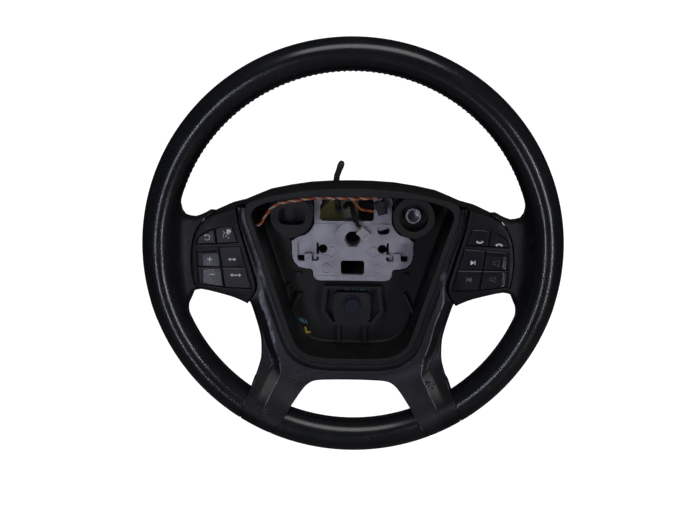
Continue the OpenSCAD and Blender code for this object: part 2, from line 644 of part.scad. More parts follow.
module white_connector() {
    color([0.9, 0.9, 0.88]) upright() translate([10.5, 6.5, boss_front + 0.1]) rotate([0, 0, -40]) difference() {
        translate([-6, -4.5, 0]) cube([12, 9, 7]);
        for (y = [-1.8, 1.8]) translate([3, y, 5]) cylinder(r = 0.9, h = 5);
    }
}

armature();
hub_boss();
rim_core();
upper_rim_grip();
lower_rim_grip();
spoke_trim();
rear_cover();
well_liner();
left_switch_housing();
right_switch_housing();
left_switch_board();
right_switch_board();
left_key_mat();
right_key_mat();
right_guide_bush();
recess_screw();
cover_screws();
horn_wires();
horn_wire_tail();
black_plug();
taped_lead();
white_connector();
rear_lead();
rear_lead_cap();
for (i = [0:5]) color(key_tint) upright() mirror([1, 0, 0]) key(i);
for (i = [0:5]) color(key_tint) upright() key(i);
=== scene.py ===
# Dresses the steering wheel: leather, plastics, cast metal, wires, signs and wear.
# Wheel coordinates are in millimetres: x right, y up, z towards the driver, with z = 0 on
# the middle plane of the rim. place() turns them into the row frame, in metres.
import json
import math

import bmesh
import bpy
import numpy as np
from mathutils import Matrix, Vector


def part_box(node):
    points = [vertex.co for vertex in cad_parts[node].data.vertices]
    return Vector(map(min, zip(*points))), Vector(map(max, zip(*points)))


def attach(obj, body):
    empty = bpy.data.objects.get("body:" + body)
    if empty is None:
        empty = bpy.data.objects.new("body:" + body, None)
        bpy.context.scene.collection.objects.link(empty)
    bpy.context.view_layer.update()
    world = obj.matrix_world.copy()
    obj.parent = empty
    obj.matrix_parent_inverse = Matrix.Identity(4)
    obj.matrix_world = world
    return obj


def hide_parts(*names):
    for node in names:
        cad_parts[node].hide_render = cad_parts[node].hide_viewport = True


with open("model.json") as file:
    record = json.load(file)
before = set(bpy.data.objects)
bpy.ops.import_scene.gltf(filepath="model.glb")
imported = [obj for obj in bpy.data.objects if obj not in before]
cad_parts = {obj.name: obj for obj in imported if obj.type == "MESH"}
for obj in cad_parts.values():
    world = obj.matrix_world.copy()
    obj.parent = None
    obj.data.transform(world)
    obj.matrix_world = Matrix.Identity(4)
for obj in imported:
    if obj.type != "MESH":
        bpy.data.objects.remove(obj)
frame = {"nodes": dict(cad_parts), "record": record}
nodes = frame["nodes"]
BODY_OF = {n: b for b, group in frame["record"]["behaviour"]["bodies"].items() for n in group}
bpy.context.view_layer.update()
MM = 0.001


def box_mm(node):
    low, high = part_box(node)
    return np.array(low) / MM, np.array(high) / MM


rim_low, rim_high = box_mm("lower_rim_grip")
wheel_low, wheel_high = box_mm("upper_rim_grip")
MID_Y = (rim_low[1] + rim_high[1]) / 2
RIM_R = (wheel_high[0] - wheel_low[0]) / 2
HALF_T = (rim_high[1] - rim_low[1]) / 2
HALF_W = 15.0
RING_R = RIM_R - HALF_W
RIM_IN = RIM_R - 2 * HALF_W


def place(points):
    """Wheel coordinates in millimetres to the row frame in metres."""
    p = np.asarray(points, float)
    return np.stack([p[..., 0], MID_Y - p[..., 2], p[..., 1]], -1) * MM


# Camera

FRAME_W = 675
FOCAL_PX = 982.9
camera = bpy.data.objects.new("camera", bpy.data.cameras.new("camera"))
bpy.context.scene.collection.objects.link(camera)
camera.data.sensor_width = 36
camera.data.lens = FOCAL_PX * camera.data.sensor_width / FRAME_W
camera.data.clip_start = 0.01
CAMERA_AT = place([12.48, 187.62, 880.24])
VIEW = Vector((-0.02834, 0.97726, -0.21012)).normalized()
UP = Vector((-0.0118, 0.20986, 0.97766))
right = VIEW.cross(UP).normalized()
above = right.cross(VIEW)
camera.matrix_world = Matrix((
    (right.x, above.x, -VIEW.x, CAMERA_AT[0]),
    (right.y, above.y, -VIEW.y, CAMERA_AT[1]),
    (right.z, above.z, -VIEW.z, CAMERA_AT[2]),
    (0, 0, 0, 1)))
bpy.context.scene.camera = camera
bpy.context.scene.view_settings.view_transform = "Standard"


# Materials

class Shader:
    """A Principled material with short calls for the nodes that shape it."""

    def __init__(self, name, color, rough, metal=0.0, spec=0.5):
        self.mat = bpy.data.materials.new(name)
        self.mat.use_nodes = True
        self.tree = self.mat.node_tree
        self.bsdf = self.tree.nodes["Principled BSDF"]
        self.set("Base Color", (*color, 1))
        self.set("Roughness", rough)
        self.set("Metallic", metal)
        self.set("Specular IOR Level", spec)
        self.where = self.node("ShaderNodeTexCoord").outputs["Object"]
        self.height = None

    def node(self, kind, **sockets):
        made = self.tree.nodes.new(kind)
        for key, value in sockets.items():
            made.inputs[key.replace("_", " ")].default_value = value
        return made

    def link(self, out, into):
        self.tree.links.new(out, into)

    def set(self, socket, value):
        self.bsdf.inputs[socket].default_value = value

    def noise(self, scale, detail=3.0, rough=0.55, stretch=(1, 1, 1), shift=(0, 0, 0)):
        made = self.node("ShaderNodeTexNoise", Scale=scale, Detail=detail, Roughness=rough)
        mapping = self.node("ShaderNodeMapping", Scale=stretch, Location=shift)
        self.link(self.where, mapping.inputs["Vector"])
        self.link(mapping.outputs["Vector"], made.inputs["Vector"])
        return made.outputs["Fac"]

    def cells(self, scale):
        made = self.node("ShaderNodeTexVoronoi", Scale=scale)
        self.link(self.where, made.inputs["Vector"])
        return made.outputs["Distance"]

    def ramp(self, value, low, high, to_low=0.0, to_high=1.0):
        made = self.node("ShaderNodeMapRange")
        made.inputs["From Min"].default_value = low
        made.inputs["From Max"].default_value = high
        made.inputs["To Min"].default_value = to_low
        made.inputs["To Max"].default_value = to_high
        self.link(value, made.inputs["Value"])
        return made.outputs["Result"]

    def math(self, kind, a, b):
        made = self.node("ShaderNodeMath")
        made.operation = kind
        for socket, value in ((0, a), (1, b)):
            if isinstance(value, (int, float)):
                made.inputs[socket].default_value = value
            else:
                self.link(value, made.inputs[socket])
        return made.outputs[0]

    def attribute(self, name):
        made = self.node("ShaderNodeAttribute")
        made.attribute_name = name
        return made.outputs["Fac"]

    def axis(self, i):
        made = self.node("ShaderNodeSeparateXYZ")
        self.link(self.where, made.inputs[0])
        return made.outputs[i]

    def tint(self, factor, color):
        """Mixes color over what the base colour holds so far, by factor."""
        made = self.node("ShaderNodeMix")
        made.data_type = "RGBA"
        base = self.bsdf.inputs["Base Color"]
        if base.is_linked:
            self.link(base.links[0].from_socket, made.inputs[6])
        else:
            made.inputs[6].default_value = base.default_value
        made.inputs[7].default_value = (*color, 1)
        self.link(factor, made.inputs[0])
        self.link(made.outputs[2], base)

    def roughness(self, value):
        self.link(value, self.bsdf.inputs["Roughness"])

    def bump(self, value, depth_mm, strength=1.0):
        made = self.node("ShaderNodeBump", Strength=strength, Distance=depth_mm * MM)
        self.link(value, made.inputs["Height"])
        if self.height is not None:
            self.link(self.height, made.inputs["Normal"])
        self.height = made.outputs["Normal"]
        self.link(self.height, self.bsdf.inputs["Normal"])


def leather():
    s = Shader("leather", (0.008, 0.0085, 0.0105), 0.2, spec=0.4)
    s.tint(s.ramp(s.noise(22, 4), 0.45, 0.75), (0.014, 0.0145, 0.017))
    s.tint(s.ramp(s.noise(160, 2), 0.62, 0.78), (0.02, 0.021, 0.024))
    polish = s.math("ADD", s.ramp(s.noise(35, 4, shift=(3, 1, 2)), 0.3, 0.7, 0.18, 0.26),
                    s.ramp(s.cells(900), 0.2, 0.7, 0.0, 0.04))
    s.roughness(s.math("ADD", polish, s.math("MULTIPLY", s.attribute("matt"), 0.28)))
    s.bump(s.cells(1050), 0.008, 0.4)
    s.bump(s.noise(420, 4), 0.007, 0.4)
    s.bump(s.noise(55, 2), 0.06, 0.25)
    s.link(s.ramp(s.attribute("matt"), 0, 1, 0.25, 0.0), s.bsdf.inputs["Coat Weight"])
    s.set("Coat Roughness", 0.15)
    return s.mat


def thread():
    s = Shader("thread", (0.018, 0.018, 0.02), 0.6, spec=0.3)
    s.bump(s.noise(2500, 2), 0.05)
    return s.mat


def grained(name, color, rough, grain=1300, depth=0.035, spec=0.4, dust=0.35):
    """Moulded plastic with a fine grain and a little dust."""
    s = Shader(name, color, rough, spec=spec)
    lighter = tuple(c * 1.7 + 0.006 for c in color)
    s.tint(s.ramp(s.noise(30, 5), 0.5, 0.8, 0, dust), lighter)
    s.tint(s.ramp(s.noise(700, 3, shift=(5, 2, 1)), 0.7, 0.8, 0, dust), tuple(c * 3 + 0.02 for c in color))
    s.roughness(s.ramp(s.noise(60, 4), 0.3, 0.7, rough - 0.06, rough + 0.08))
    s.bump(s.cells(grain), depth, 0.6)
    s.bump(s.noise(300, 3), 0.03, 0.4)
    return s


def worn_trim():
    """Satin paint on the spoke trim, rubbed pale along its creases and pitted on the legs; the pale crease
    lines also carry a painted highlight.
    """
    s = grained("worn_trim", (0.0135, 0.014, 0.0185), 0.38, grain=1500, depth=0.02, dust=0.25)
    # Painted shade outside the creases and on the collar by the rim.
    s.tint(s.attribute("trim_shade"), (0.0035, 0.0037, 0.005))
    # Pale along the creases: paint rubbed off, and on the crease lines a painted highlight as well.
    wear_and_highlight = s.attribute("wear_and_highlight")
    broken = s.ramp(s.noise(260, 6, 0.7, stretch=(1, 1, 0.45)), 0.36, 0.56)
    s.tint(s.math("MULTIPLY", s.ramp(wear_and_highlight, 0.15, 0.9), broken), (0.24, 0.24, 0.29))
    chips = s.ramp(s.noise(900, 2), 0.66, 0.7)
    s.tint(s.math("MULTIPLY", s.ramp(wear_and_highlight, 0.05, 0.6), chips), (0.42, 0.42, 0.45))
    specks = s.ramp(s.cells(190), 0.03, 0.05, 1, 0)
    where = s.ramp(s.noise(40, 2, shift=(6, 1, 3)), 0.48, 0.56, 0, 0.8)
    s.tint(s.math("MULTIPLY", specks, where), (0.3, 0.3, 0.33))
    pits = s.attribute("pits")
    blister = s.ramp(s.cells(420), 0.1, 0.5, 1, 0)
    patch = s.ramp(s.noise(60, 3, shift=(1, 4, 2)), 0.5, 0.6)
    s.bump(s.math("MULTIPLY", s.math("MULTIPLY", blister, patch), pits), 0.5, 1.0)
    return s.mat


def cast_alloy():
    s = Shader("cast_alloy", (0.43, 0.42, 0.46), 0.5, metal=0.75)
    s.tint(s.ramp(s.noise(45, 5), 0.4, 0.75), (0.31, 0.3, 0.335))
    s.tint(s.ramp(s.noise(600, 4), 0.62, 0.75), (0.5, 0.49, 0.54))
    s.tint(s.ramp(s.noise(18, 3, shift=(2, 7, 1)), 0.58, 0.72, 0, 0.5), (0.2, 0.19, 0.2))
    s.roughness(s.ramp(s.noise(90, 4), 0.3, 0.7, 0.4, 0.6))
    s.bump(s.noise(900, 4), 0.05, 0.6)
    s.bump(s.noise(140, 3), 0.12, 0.4)
    return s.mat


def metal(name, color, rough):
    s = Shader(name, color, rough, metal=0.9)
    s.tint(s.ramp(s.noise(300, 4), 0.5, 0.75), tuple(c * 0.6 for c in color))
    s.roughness(s.ramp(s.noise(500, 3), 0.3, 0.7, rough - 0.08, rough + 0.12))
    s.bump(s.noise(1500, 2), 0.02, 0.5)
    return s.mat


def insulation(name, color):
    s = Shader(name, color, 0.38, spec=0.5)
    s.tint(s.ramp(s.noise(400, 4), 0.5, 0.8, 0, 0.6), tuple(c * 0.45 for c in color))
    s.bump(s.noise(900, 2), 0.02)
    return s.mat


def cloth_tape(name, color):
    s = Shader(name, color, 0.75, spec=0.25)
    s.tint(s.ramp(s.noise(500, 3), 0.5, 0.8, 0, 0.6), tuple(c * 2.2 + 0.01 for c in color))
    s.bump(s.cells(1600), 0.08)
    s.bump(s.noise(180, 3), 0.25, 0.6)
    return s.mat


def paint(name, color):
    s = Shader(name, color, 0.5)
    s.tint(s.ramp(s.noise(900, 3), 0.5, 0.7, 0, 0.5), tuple(c * 0.5 for c in color))
    s.bump(s.noise(800, 3), 0.06)
    return s.mat


MATERIALS = {
    "leather": leather(),
    "thread": thread(),
    "trim": worn_trim(),
    "cover": grained("cover_plastic", (0.009, 0.009, 0.009), 0.5, spec=0.35).mat,
    "liner": grained("liner_plastic", (0.007, 0.0072, 0.0078), 0.5, spec=0.35, dust=0.7).mat,
    "pod": grained("pod_plastic", (0.004, 0.0041, 0.0048), 0.42, grain=1700, depth=0.02, spec=0.25).mat,
    "key": grained("key_plastic", (0.007, 0.0068, 0.01), 0.36, grain=2400, depth=0.012, spec=0.3).mat,
    "board": grained("board", (0.02, 0.12, 0.05), 0.4).mat,
    "rubber": grained("mat_rubber", (0.2, 0.2, 0.2), 0.7).mat,
    "cap": grained("cap_rubber", (0.055, 0.055, 0.05), 0.7).mat,
    "alloy": cast_alloy(),
    "steel": metal("steel", (0.42, 0.42, 0.45), 0.32),
    "dark_steel": metal("dark_steel", (0.03, 0.032, 0.042), 0.4),
    "orange": insulation("orange_wire", (0.62, 0.17, 0.03)),
    "white": insulation("pale_wire", (0.62, 0.5, 0.42)),
    "red": insulation("red_wire", (0.35, 0.05, 0.03)),
    "black": insulation("black_wire", (0.012, 0.012, 0.012)),
    "tape": cloth_tape("tape", (0.014, 0.014, 0.013)),
    "lead": cloth_tape("lead_skin", (0.055, 0.055, 0.05)),
    "plug_black": grained("plug_black", (0.012, 0.012, 0.013), 0.35).mat,
    "plug_white": grained("plug_white", (0.52, 0.52, 0.53), 0.4, dust=0.1).mat,
    "key_gloss": grained("key_gloss", (0.009, 0.009, 0.013), 0.3, grain=2400, depth=0.006, spec=0.45,
                         dust=0.15).mat,
    "sign": paint("sign_paint", (0.72, 0.73, 0.78)),
    "faint_sign": paint("faint_sign_paint", (0.13, 0.13, 0.14)),
    "yellow": paint("yellow_paint", (0.6, 0.42, 0.03)),
    "blue": paint("blue_paint", (0.12, 0.31, 0.43)),
}


# Meshes

def piece(name, points, faces, material, body="wheel", smooth=True, row=False):
    """A mesh of wheel coordinates, or of row coordinates with row=True, that rides on body."""
    mesh = bpy.data.meshes.new(name)
    where = np.asarray(points, float) if row else place(points)
    mesh.from_pydata([tuple(p) for p in where], [], [tuple(int(i) for i in f) for f in faces])
    mesh.polygons.foreach_set("use_smooth", [smooth] * len(mesh.polygons))
    mesh.materials.append(MATERIALS[material])
    obj = bpy.data.objects.new(name, mesh)
    bpy.context.scene.collection.objects.link(obj)
    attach(obj, body)
    return obj


def grid_faces(rows, cols, loop=True):
    """Quads between rows of points; with loop=True each row closes on itself."""
    faces = []
    for i in range(rows - 1):
        for j in range(cols if loop else cols - 1):
            here, after = i * cols, (i + 1) * cols
            across = (j + 1) % cols
            faces.append((here + j, here + across, after + across, after + j))
    return faces


def face_out(obj):
    """Turns every face of a closed mesh outwards."""
    mesh = bmesh.new()
    mesh.from_mesh(obj.data)
    bmesh.ops.recalc_face_normals(mesh, faces=mesh.faces)
    mesh.to_mesh(obj.data)
    mesh.free()


def sharpen(obj, degrees=32):
    """Smooth shading with edges kept where faces meet at more than this angle."""
    with bpy.context.temp_override(object=obj, active_object=obj, selected_objects=[obj],
                                   selected_editable_objects=[obj]):
        bpy.ops.object.shade_smooth_by_angle(angle=math.radians(degrees))


TUBE_STEPS = 6


def tube(name, route, diameter, material):
    """A round cord through wheel coordinates, smoothed between them."""
    path = curve_through(np.asarray(route, float), TUBE_STEPS)
    return tube_along(name, path, diameter, material)


def catmull_rom(a, b, c, d, t):
    """The point at share t between b and c, on the curve through a, b, c and d."""
    return 0.5 * (2 * b + (c - a) * t + (2 * a - 5 * b + 4 * c - d) * t * t
                  + (3 * b - a - 3 * c + d) * t ** 3)


def curve_through(points, steps):
    """A Catmull-Rom curve through the points, which runs straight out at its ends."""
    p = np.vstack([2 * points[0] - points[1], points, 2 * points[-1] - points[-2]])
    out = []
    for i in range(1, len(p) - 2):
        out += [catmull_rom(*p[i - 1:i + 3], t) for t in np.arange(steps) / steps]
    out.append(p[-2])
    return np.array(out)


def frames(path):
    """Unit vectors across a path, turned as little as possible from point to point."""
    along = np.gradient(path, axis=0)
    along /= np.linalg.norm(along, axis=1, keepdims=True)
    first = np.cross(along[0], [0, 0, 1] if abs(along[0][2]) < 0.8 else [0, 1, 0])
    side = [first / np.linalg.norm(first)]
    for t in along[1:]:
        s = side[-1] - t * np.dot(side[-1], t)
        side.append(s / np.linalg.norm(s))
    side = np.array(side)
    return along, side, np.cross(along, side)


def tube_along(name, path, diameter, material, sides=10):
    _, side, up = frames(path)
    turn = np.arange(sides) * 2 * math.pi / sides
    ring = (np.cos(turn)[None, :, None] * side[:, None, :] + np.sin(turn)[None, :, None] * up[:, None, :])
    points = (path[:, None, :] + ring * np.reshape(diameter, (-1, 1, 1)) / 2).reshape(-1, 3)
    faces = grid_faces(len(path), sides)
    last = (len(path) - 1) * sides
    faces += [tuple(range(sides))[::-1], tuple(range(last, last + sides))]
    obj = piece(name, points, faces, material)
    face_out(obj)
    return obj


def dress(name, material, bevel_mm=0.0, degrees=30):
    """Shows a CAD node with joined faces, softened edges and its own material."""
    work = bmesh.new()
    work.from_mesh(nodes[name].data)
    bmesh.ops.remove_doubles(work, verts=work.verts, dist=1e-6)
    bmesh.ops.dissolve_limit(work, angle_limit=math.radians(0.5), verts=work.verts, edges=work.edges)
    bmesh.ops.recalc_face_normals(work, faces=work.faces)
    mesh = bpy.data.meshes.new(name + "_shown")
    work.to_mesh(mesh)
    work.free()
    mesh.polygons.foreach_set("use_smooth", [True] * len(mesh.polygons))
    mesh.materials.append(MATERIALS[material])
    obj = bpy.data.objects.new(name + "_shown", mesh)
    bpy.context.scene.collection.objects.link(obj)
    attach(obj, BODY_OF[name])
    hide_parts(name)
    sharpen(obj, degrees)
    if bevel_mm:
        bevel = obj.modifiers.new("bevel", "BEVEL")
        bevel.width = bevel_mm * MM
        bevel.segments = 3
        bevel.limit_method = "ANGLE"
        bevel.angle_limit = math.radians(degrees)
        bevel.harden_normals = True
    return obj


# Outlines of the rim and its seams, in degrees from straight down

LOW_SEAM, HIGH_SEAM, LEAN = 21.0, 35.5, 2.8
SEAM_GAP = 0.3


def ease(t):
    c = np.clip(t, 0, 1)
    return c * c * (3 - 2 * c)


def mix(a, b, t):
    return a + (b - a) * t


def polar_point(angle, radius):
    a = np.radians(angle)
    return np.stack([radius * np.sin(a), -radius * np.cos(a)], -1)


# Leather grips

POD_REACH = 149.0
POD_LINE = [
    [96.5, -52], [105, -48], [113, -45], [124, -42], [134, -39.5], [POD_REACH - 7, -38],
    [POD_REACH - 2.5, -34], [POD_REACH - 0.5, -22], [POD_REACH, -10], [POD_REACH - 1, 2],
    [POD_REACH - 3.5, 13], [POD_REACH - 7.5, 21], [POD_REACH - 12, 27], [POD_REACH - 17, 30.5],
    [120, 35.5], [106.3, 39]]
# The leather beside a pod, seen from the front, and its rear and front along x
ROOT_LINE = [
    [126, 20], [126, -34], [136, -38.6], [141, -39.4], [145, -40], [147.4, -41], [149.2, -44], [151, -48.3],
    [152.6, -52.2], [154.4, -56], [158, -60], [166, -63], [176, -62], [180, -50], [180, 45], [172, 50],
    [162, 47], [158.6, 40], [157.6, 34.5], [155, 29.8], [151, 27.7], [147, 27.1], [142, 28.7],
    [137.5, 30.8], [132.7, 33.6], [128, 33.4]]
ROOT_X = [126.0, 149.3, 152.0, 155.0, 158.0, 162.5, 166.5, 171.5, 185.0]
ROOT_REAR = [-29.0, -29.0, -27.0, -24.0, -21.0, -17.0, -13.5, -11.0, -9.0]
ROOT_FRONT = [-4.6, -4.4, -3.6, -2.3, -0.3, 3.5, 8.0, 11.0, 12.0]
ROOT_ROUND = 4.0
ROOT_FROM, ROOT_TO = 66.5, 110.0
POD_GAP = 0.35
BLEND = 7.0


def rim_field(p):
    """Below zero inside the rim, in millimetres near its surface."""
    r = np.hypot(p[..., 0], p[..., 1]) - RING_R
    q = np.sqrt((r / HALF_W) ** 2 + (p[..., 2] / HALF_T) ** 2)
    return (q - 1) * (HALF_W + HALF_T) / 2


def outline_distance(x, y, line):
    """Distance to a closed outline, below zero inside."""
    best = np.full(x.shape, 1e9)
    inside = np.zeros(x.shape, bool)
    for (ax, ay), (bx, by) in zip(line, np.roll(line, -1, axis=0)):
        ex, ey = bx - ax, by - ay
        t = np.clip(((x - ax) * ex + (y - ay) * ey) / (ex * ex + ey * ey), 0, 1)
        best = np.minimum(best, (x - ax - t * ex) ** 2 + (y - ay - t * ey) ** 2)
        inside ^= ((ay > y) != (by > y)) & (x < ax + (y - ay) * ex / (ey if ey else 1e-9))
    return np.sqrt(best) * np.where(inside, -1, 1)


def root_field(p):
    """Below zero inside the leather that joins the rim to the right pod."""
    x, y, z = p[..., 0], p[..., 1], p[..., 2]
    flat = (x, y) if p.ndim < 4 else (x[:, :, 0], y[:, :, 0])
    across = outline_distance(*flat, np.array(ROOT_LINE, float))
    pod = outline_distance(*flat, np.array([[100, 0]] + POD_LINE, float))
    if p.ndim == 4:
        across, pod = across[:, :, None], pod[:, :, None]
    through = np.maximum(np.interp(x, ROOT_X, ROOT_REAR) - z, z - np.interp(x, ROOT_X, ROOT_FRONT))
    a, b = across + ROOT_ROUND, through + ROOT_ROUND
    root = np.minimum(np.maximum(a, b), 0) + np.hypot(np.maximum(a, 0), np.maximum(b, 0)) - ROOT_ROUND
    rim = rim_field(p)
    h = np.maximum(BLEND - np.abs(root - rim), 0) / BLEND
    return np.maximum(np.minimum(root, rim) - h * h * BLEND / 4, POD_GAP - pod)


def surface_net(field, low, high, step):
    """The zero surface of a field, as points and quads from a grid of cells."""
    axes = [np.arange(a, b + step, step) for a, b in zip(low, high)]
    value = field(np.stack(np.meshgrid(*axes, indexing="ij"), -1))
    size = np.array(value.shape) - 1
    total, count = np.zeros((*size, 3)), np.zeros(size)
    corners = [np.array((i, j, k)) for i in (0, 1) for j in (0, 1) for k in (0, 1)]
    for a in corners:
        for b in corners:
            if (b - a).min() < 0 or (b - a).sum() != 1:
                continue
            va = value[a[0]:size[0] + a[0], a[1]:size[1] + a[1], a[2]:size[2] + a[2]]
            vb = value[b[0]:size[0] + b[0], b[1]:size[1] + b[1], b[2]:size[2] + b[2]]
            crosses = (va < 0) != (vb < 0)
            share = np.where(crosses, va / np.where(crosses, va - vb, 1), 0)
            total += np.where(crosses[..., None], a + share[..., None] * (b - a), 0)
            count += crosses
    active = count > 0
    index = np.full(size, -1)
    index[active] = np.arange(active.sum())
    points = np.array(low) + (np.argwhere(active) + total[active] / count[active][:, None]) * step
    quads = []
    for axis in range(3):
        first = np.take(value, range(size[axis]), axis) < 0
        second = np.take(value, range(1, size[axis] + 1), axis) < 0
        at = np.argwhere(first != second)
        u, v = np.eye(3, dtype=int)[(axis + 1) % 3], np.eye(3, dtype=int)[(axis + 2) % 3]
        at = at[np.all((at - u - v >= 0) & (at < size), axis=1)]
        around = [index[tuple((at - shift).T)] for shift in (u + v, v, 0 * u, u)]
        quad = np.stack(around, -1)
        turned = first[tuple(at.T)]
        quads.append(np.where(turned[:, None], quad, quad[:, ::-1]))
    for _ in range(3):
        here = field(points)
        slope = np.stack([(field(points + d) - here) / 0.02 for d in np.eye(3) * 0.02], -1)
        move = slope * (here / np.maximum((slope ** 2).sum(-1), 0.2))[:, None]
        points = points - np.clip(move, -0.3, 0.3)
    return points, np.vstack(quads)


def root_meshes():
    """The rim beside each pod, with its leather root, cut at two planes through the axis."""
    points, quads = surface_net(root_field, (126, -80, -32), (195, 69, 17), 0.8)
    for side, name in ((1, "right_root_leather"), (-1, "left_root_leather")):
        obj = piece(name, points * [side, 1, 1], quads, "leather")
        mesh = bmesh.new()
        mesh.from_mesh(obj.data)
        for angle, keep in ((ROOT_FROM, 1), (ROOT_TO, -1)):
            a = math.radians(angle)
            across = Vector((side * math.cos(a), 0, math.sin(a))) * keep
            everything = list(mesh.verts) + list(mesh.edges) + list(mesh.faces)
            cut = bmesh.ops.bisect_plane(mesh, geom=everything, plane_co=(0, 0, 0), plane_no=across,
                                         clear_inner=True)
            rim = [e for e in cut["geom_cut"] if isinstance(e, bmesh.types.BMEdge)]
            bmesh.ops.edgeloop_fill(mesh, edges=rim)
        mesh.to_mesh(obj.data)
        mesh.free()
        face_out(obj)
        sharpen(obj, 40)
        own = np.array([tuple(v.co) for v in obj.data.vertices]) / MM
        fade = 1 - ease((np.abs(own[:, 2] + 6) - 42) / 14)
        store(obj, "matt", ease((163 - np.abs(own[:, 0])) / 9) * fade)


def store(obj, name, values):
    """A number for each vertex, which the shaders read."""
    made = obj.data.attributes.new(name, "FLOAT", "POINT")
    made.data.foreach_set("value", np.asarray(values, np.float32))


SECTION = 144
ROUND_MM = 1.6
CORE_R = 5.9
# How deep a plain end lies in the root, and how far it runs on under it
ROOT_SINK, ROOT_LAP = 0.5, 0.4
LEG_TUCK = 2.2
DEEP = 50.0
SEAM_DENT, SEAM_DENT_DEG = 0.55, 3.2


def grip_mesh(name, first, last, first_lean, last_lean, count):
    """Leather over the rim between two angles: leaning rolled seams, or plain ends under a root."""
    turn = np.arange(SECTION) * 2 * math.pi / SECTION
    # Inner side of the section first: share runs 0 at the inside of the rim to 1 at its outside
    share = (1 - np.cos(turn)) / 2
    gap = np.degrees(SEAM_GAP / RING_R)
    edge = np.degrees(ROUND_MM / RING_R)
    # The inner end runs on a little under the leg of the trim
    under_leg = np.degrees(LEG_TUCK / RING_R) * (1 - share) ** 2
    start = first + (first_lean or 0) * share + (gap - under_leg if first_lean else 0)
    stop = last + (last_lean or 0) * share - (gap - under_leg if last_lean else 0)
    rows, sinks = [], []

    def rolled(line, sign):
        made = []
        for t in (0.0, 0.12, 0.3, 0.55, 0.8):
            made.append((line + sign * edge * t, ROUND_MM * (1 - math.sqrt(1 - (1 - t) ** 2))))
        return [(made[0][0], DEEP)] + made

    def tucked(line, sign):
        under = np.degrees(ROOT_LAP / RING_R)
        return [(line - sign * under, DEEP), (line - sign * under, ROOT_SINK)]

    front = rolled(start, 1) if first_lean else tucked(start, 1)
    back = rolled(stop, -1) if last_lean else tucked(stop, -1)
    low = start + edge if first_lean else start
    high = stop - edge if last_lean else stop
    for line, sink in front + [(mix(low, high, t), 0.0) for t in np.linspace(0, 1, count)] + back[::-1]:
        rows.append(line)
        sinks.append(sink)
    a = np.radians(np.array(rows))
    sink = np.array(sinks)[:, None]
    seam = np.abs((np.degrees(turn) + 180) % 360 - 180)
    dent = SEAM_DENT * np.exp(-(seam / SEAM_DENT_DEG) ** 2)[None, :]
    length = np.hypot(HALF_W * np.cos(turn), HALF_T * np.sin(turn))[None, :] - sink - dent
    length = np.maximum(length, CORE_R)
    full = np.hypot(HALF_W * np.cos(turn), HALF_T * np.sin(turn))[None, :]
    r = RING_R - HALF_W * np.cos(turn)[None, :] * length / full
    z = HALF_T * np.sin(turn)[None, :] * length / full
    points = np.stack([r * np.sin(a), -r * np.cos(a), z], -1)
    obj = piece(name, points.reshape(-1, 3), grid_faces(len(rows), SECTION), "leather")
    face_out(obj)
    sharpen(obj, 40)
    return obj


STITCH_PITCH = 5.0
STITCH_HALF = 2.6
STITCH_SLANT = 0.9
STITCH_R = 0.42
STITCH_LIFT, STITCH_BED = 0.45, 0.35


def add_stitches(name, first, last):
    """Slanted stitches across the seam on the inside of the rim."""
    count = int((last - first) * math.pi / 180 * RIM_IN / STITCH_PITCH)
    angles = np.radians(np.linspace(first, last, count))
    points, faces = [], []
    sides, rings = 6, 7
    for a in angles:
        along = np.linspace(-1, 1, rings)
        z = along * STITCH_HALF
        shift = along * STITCH_SLANT / RIM_IN
        out = np.stack([np.sin(a + shift), -np.cos(a + shift), np.zeros(rings)], -1)
        lift = STITCH_LIFT * (1 - along ** 4)
        inset = HALF_W * np.sqrt(1 - (z / HALF_T) ** 2) - STITCH_BED + lift
        path = out * (RING_R - inset)[:, None] + np.stack([0 * z, 0 * z, z], -1)
        _, side, up = frames(path)
        base = len(points)
        for i in range(rings):
            for k in range(sides):
                t = k * 2 * math.pi / sides
                points.append(path[i] + STITCH_R * (side[i] * math.cos(t) + up[i] * math.sin(t)))
        faces += [tuple(base + i for i in quad) for quad in grid_faces(rings, sides)]
        faces.append(tuple(base + k for k in range(sides))[::-1])
        faces.append(tuple(base + (rings - 1) * sides + k for k in range(sides)))
    obj = piece(name, points, faces, "thread")
    face_out(obj)
    return obj


top = grip_mesh("upper_leather", ROOT_TO, 360 - ROOT_TO, None, None, 220)
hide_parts("upper_rim_grip")
grip_mesh("right_leather", HIGH_SEAM, ROOT_FROM, -LEAN, None, 50)
grip_mesh("left_leather", 360 - ROOT_FROM, 360 - HIGH_SEAM, None, LEAN, 50)
low = grip_mesh("lower_leather", -LOW_SEAM, LOW_SEAM, -LEAN, LEAN, 90)
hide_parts("lower_rim_grip")
root_meshes()
for name, first, last in (
        ("right_stitches", HIGH_SEAM + 2, ROOT_FROM - 1), ("top_stitches", ROOT_TO + 1, 359 - ROOT_TO),
        ("left_stitches", 361 - ROOT_FROM, 358 - HIGH_SEAM),
        ("lower_stitches", 1.5 - LOW_SEAM, LOW_SEAM - 1.5)):
    add_stitches(name, first, last)

# Spoke trim, worked out along its outline as a row of sections

PLATE_Z = {"trim": -7.0, "band": -11.0, "groove": -14.0, "pod": -2.0}
LEDGE_T = 2.5
SKIN_T = 2.6
BAND_W, GROOVE_W = 6.0, 5.0
SIDE_Z = 20.0
EDGE_ROUND = 4.0
RAMP_START = 125.0
STEP = 0.06


def outward(a, b):
    d = np.array(b) - np.array(a)
    return np.array([d[1], -d[0]]) / np.hypot(*d)


def outset(line, distance):
    """A half outline moved outwards, where its ends lie on the mirror plane."""
    out = []
    for i, p in enumerate(line):
        before = line[i - 1] if i else [-line[1][0], line[1][1]]
        after = line[i + 1] if i < len(line) - 1 else [-line[i - 1][0], line[i - 1][1]]
        out.append(np.array(p) + distance * outward(before, after))
    return np.array(out)


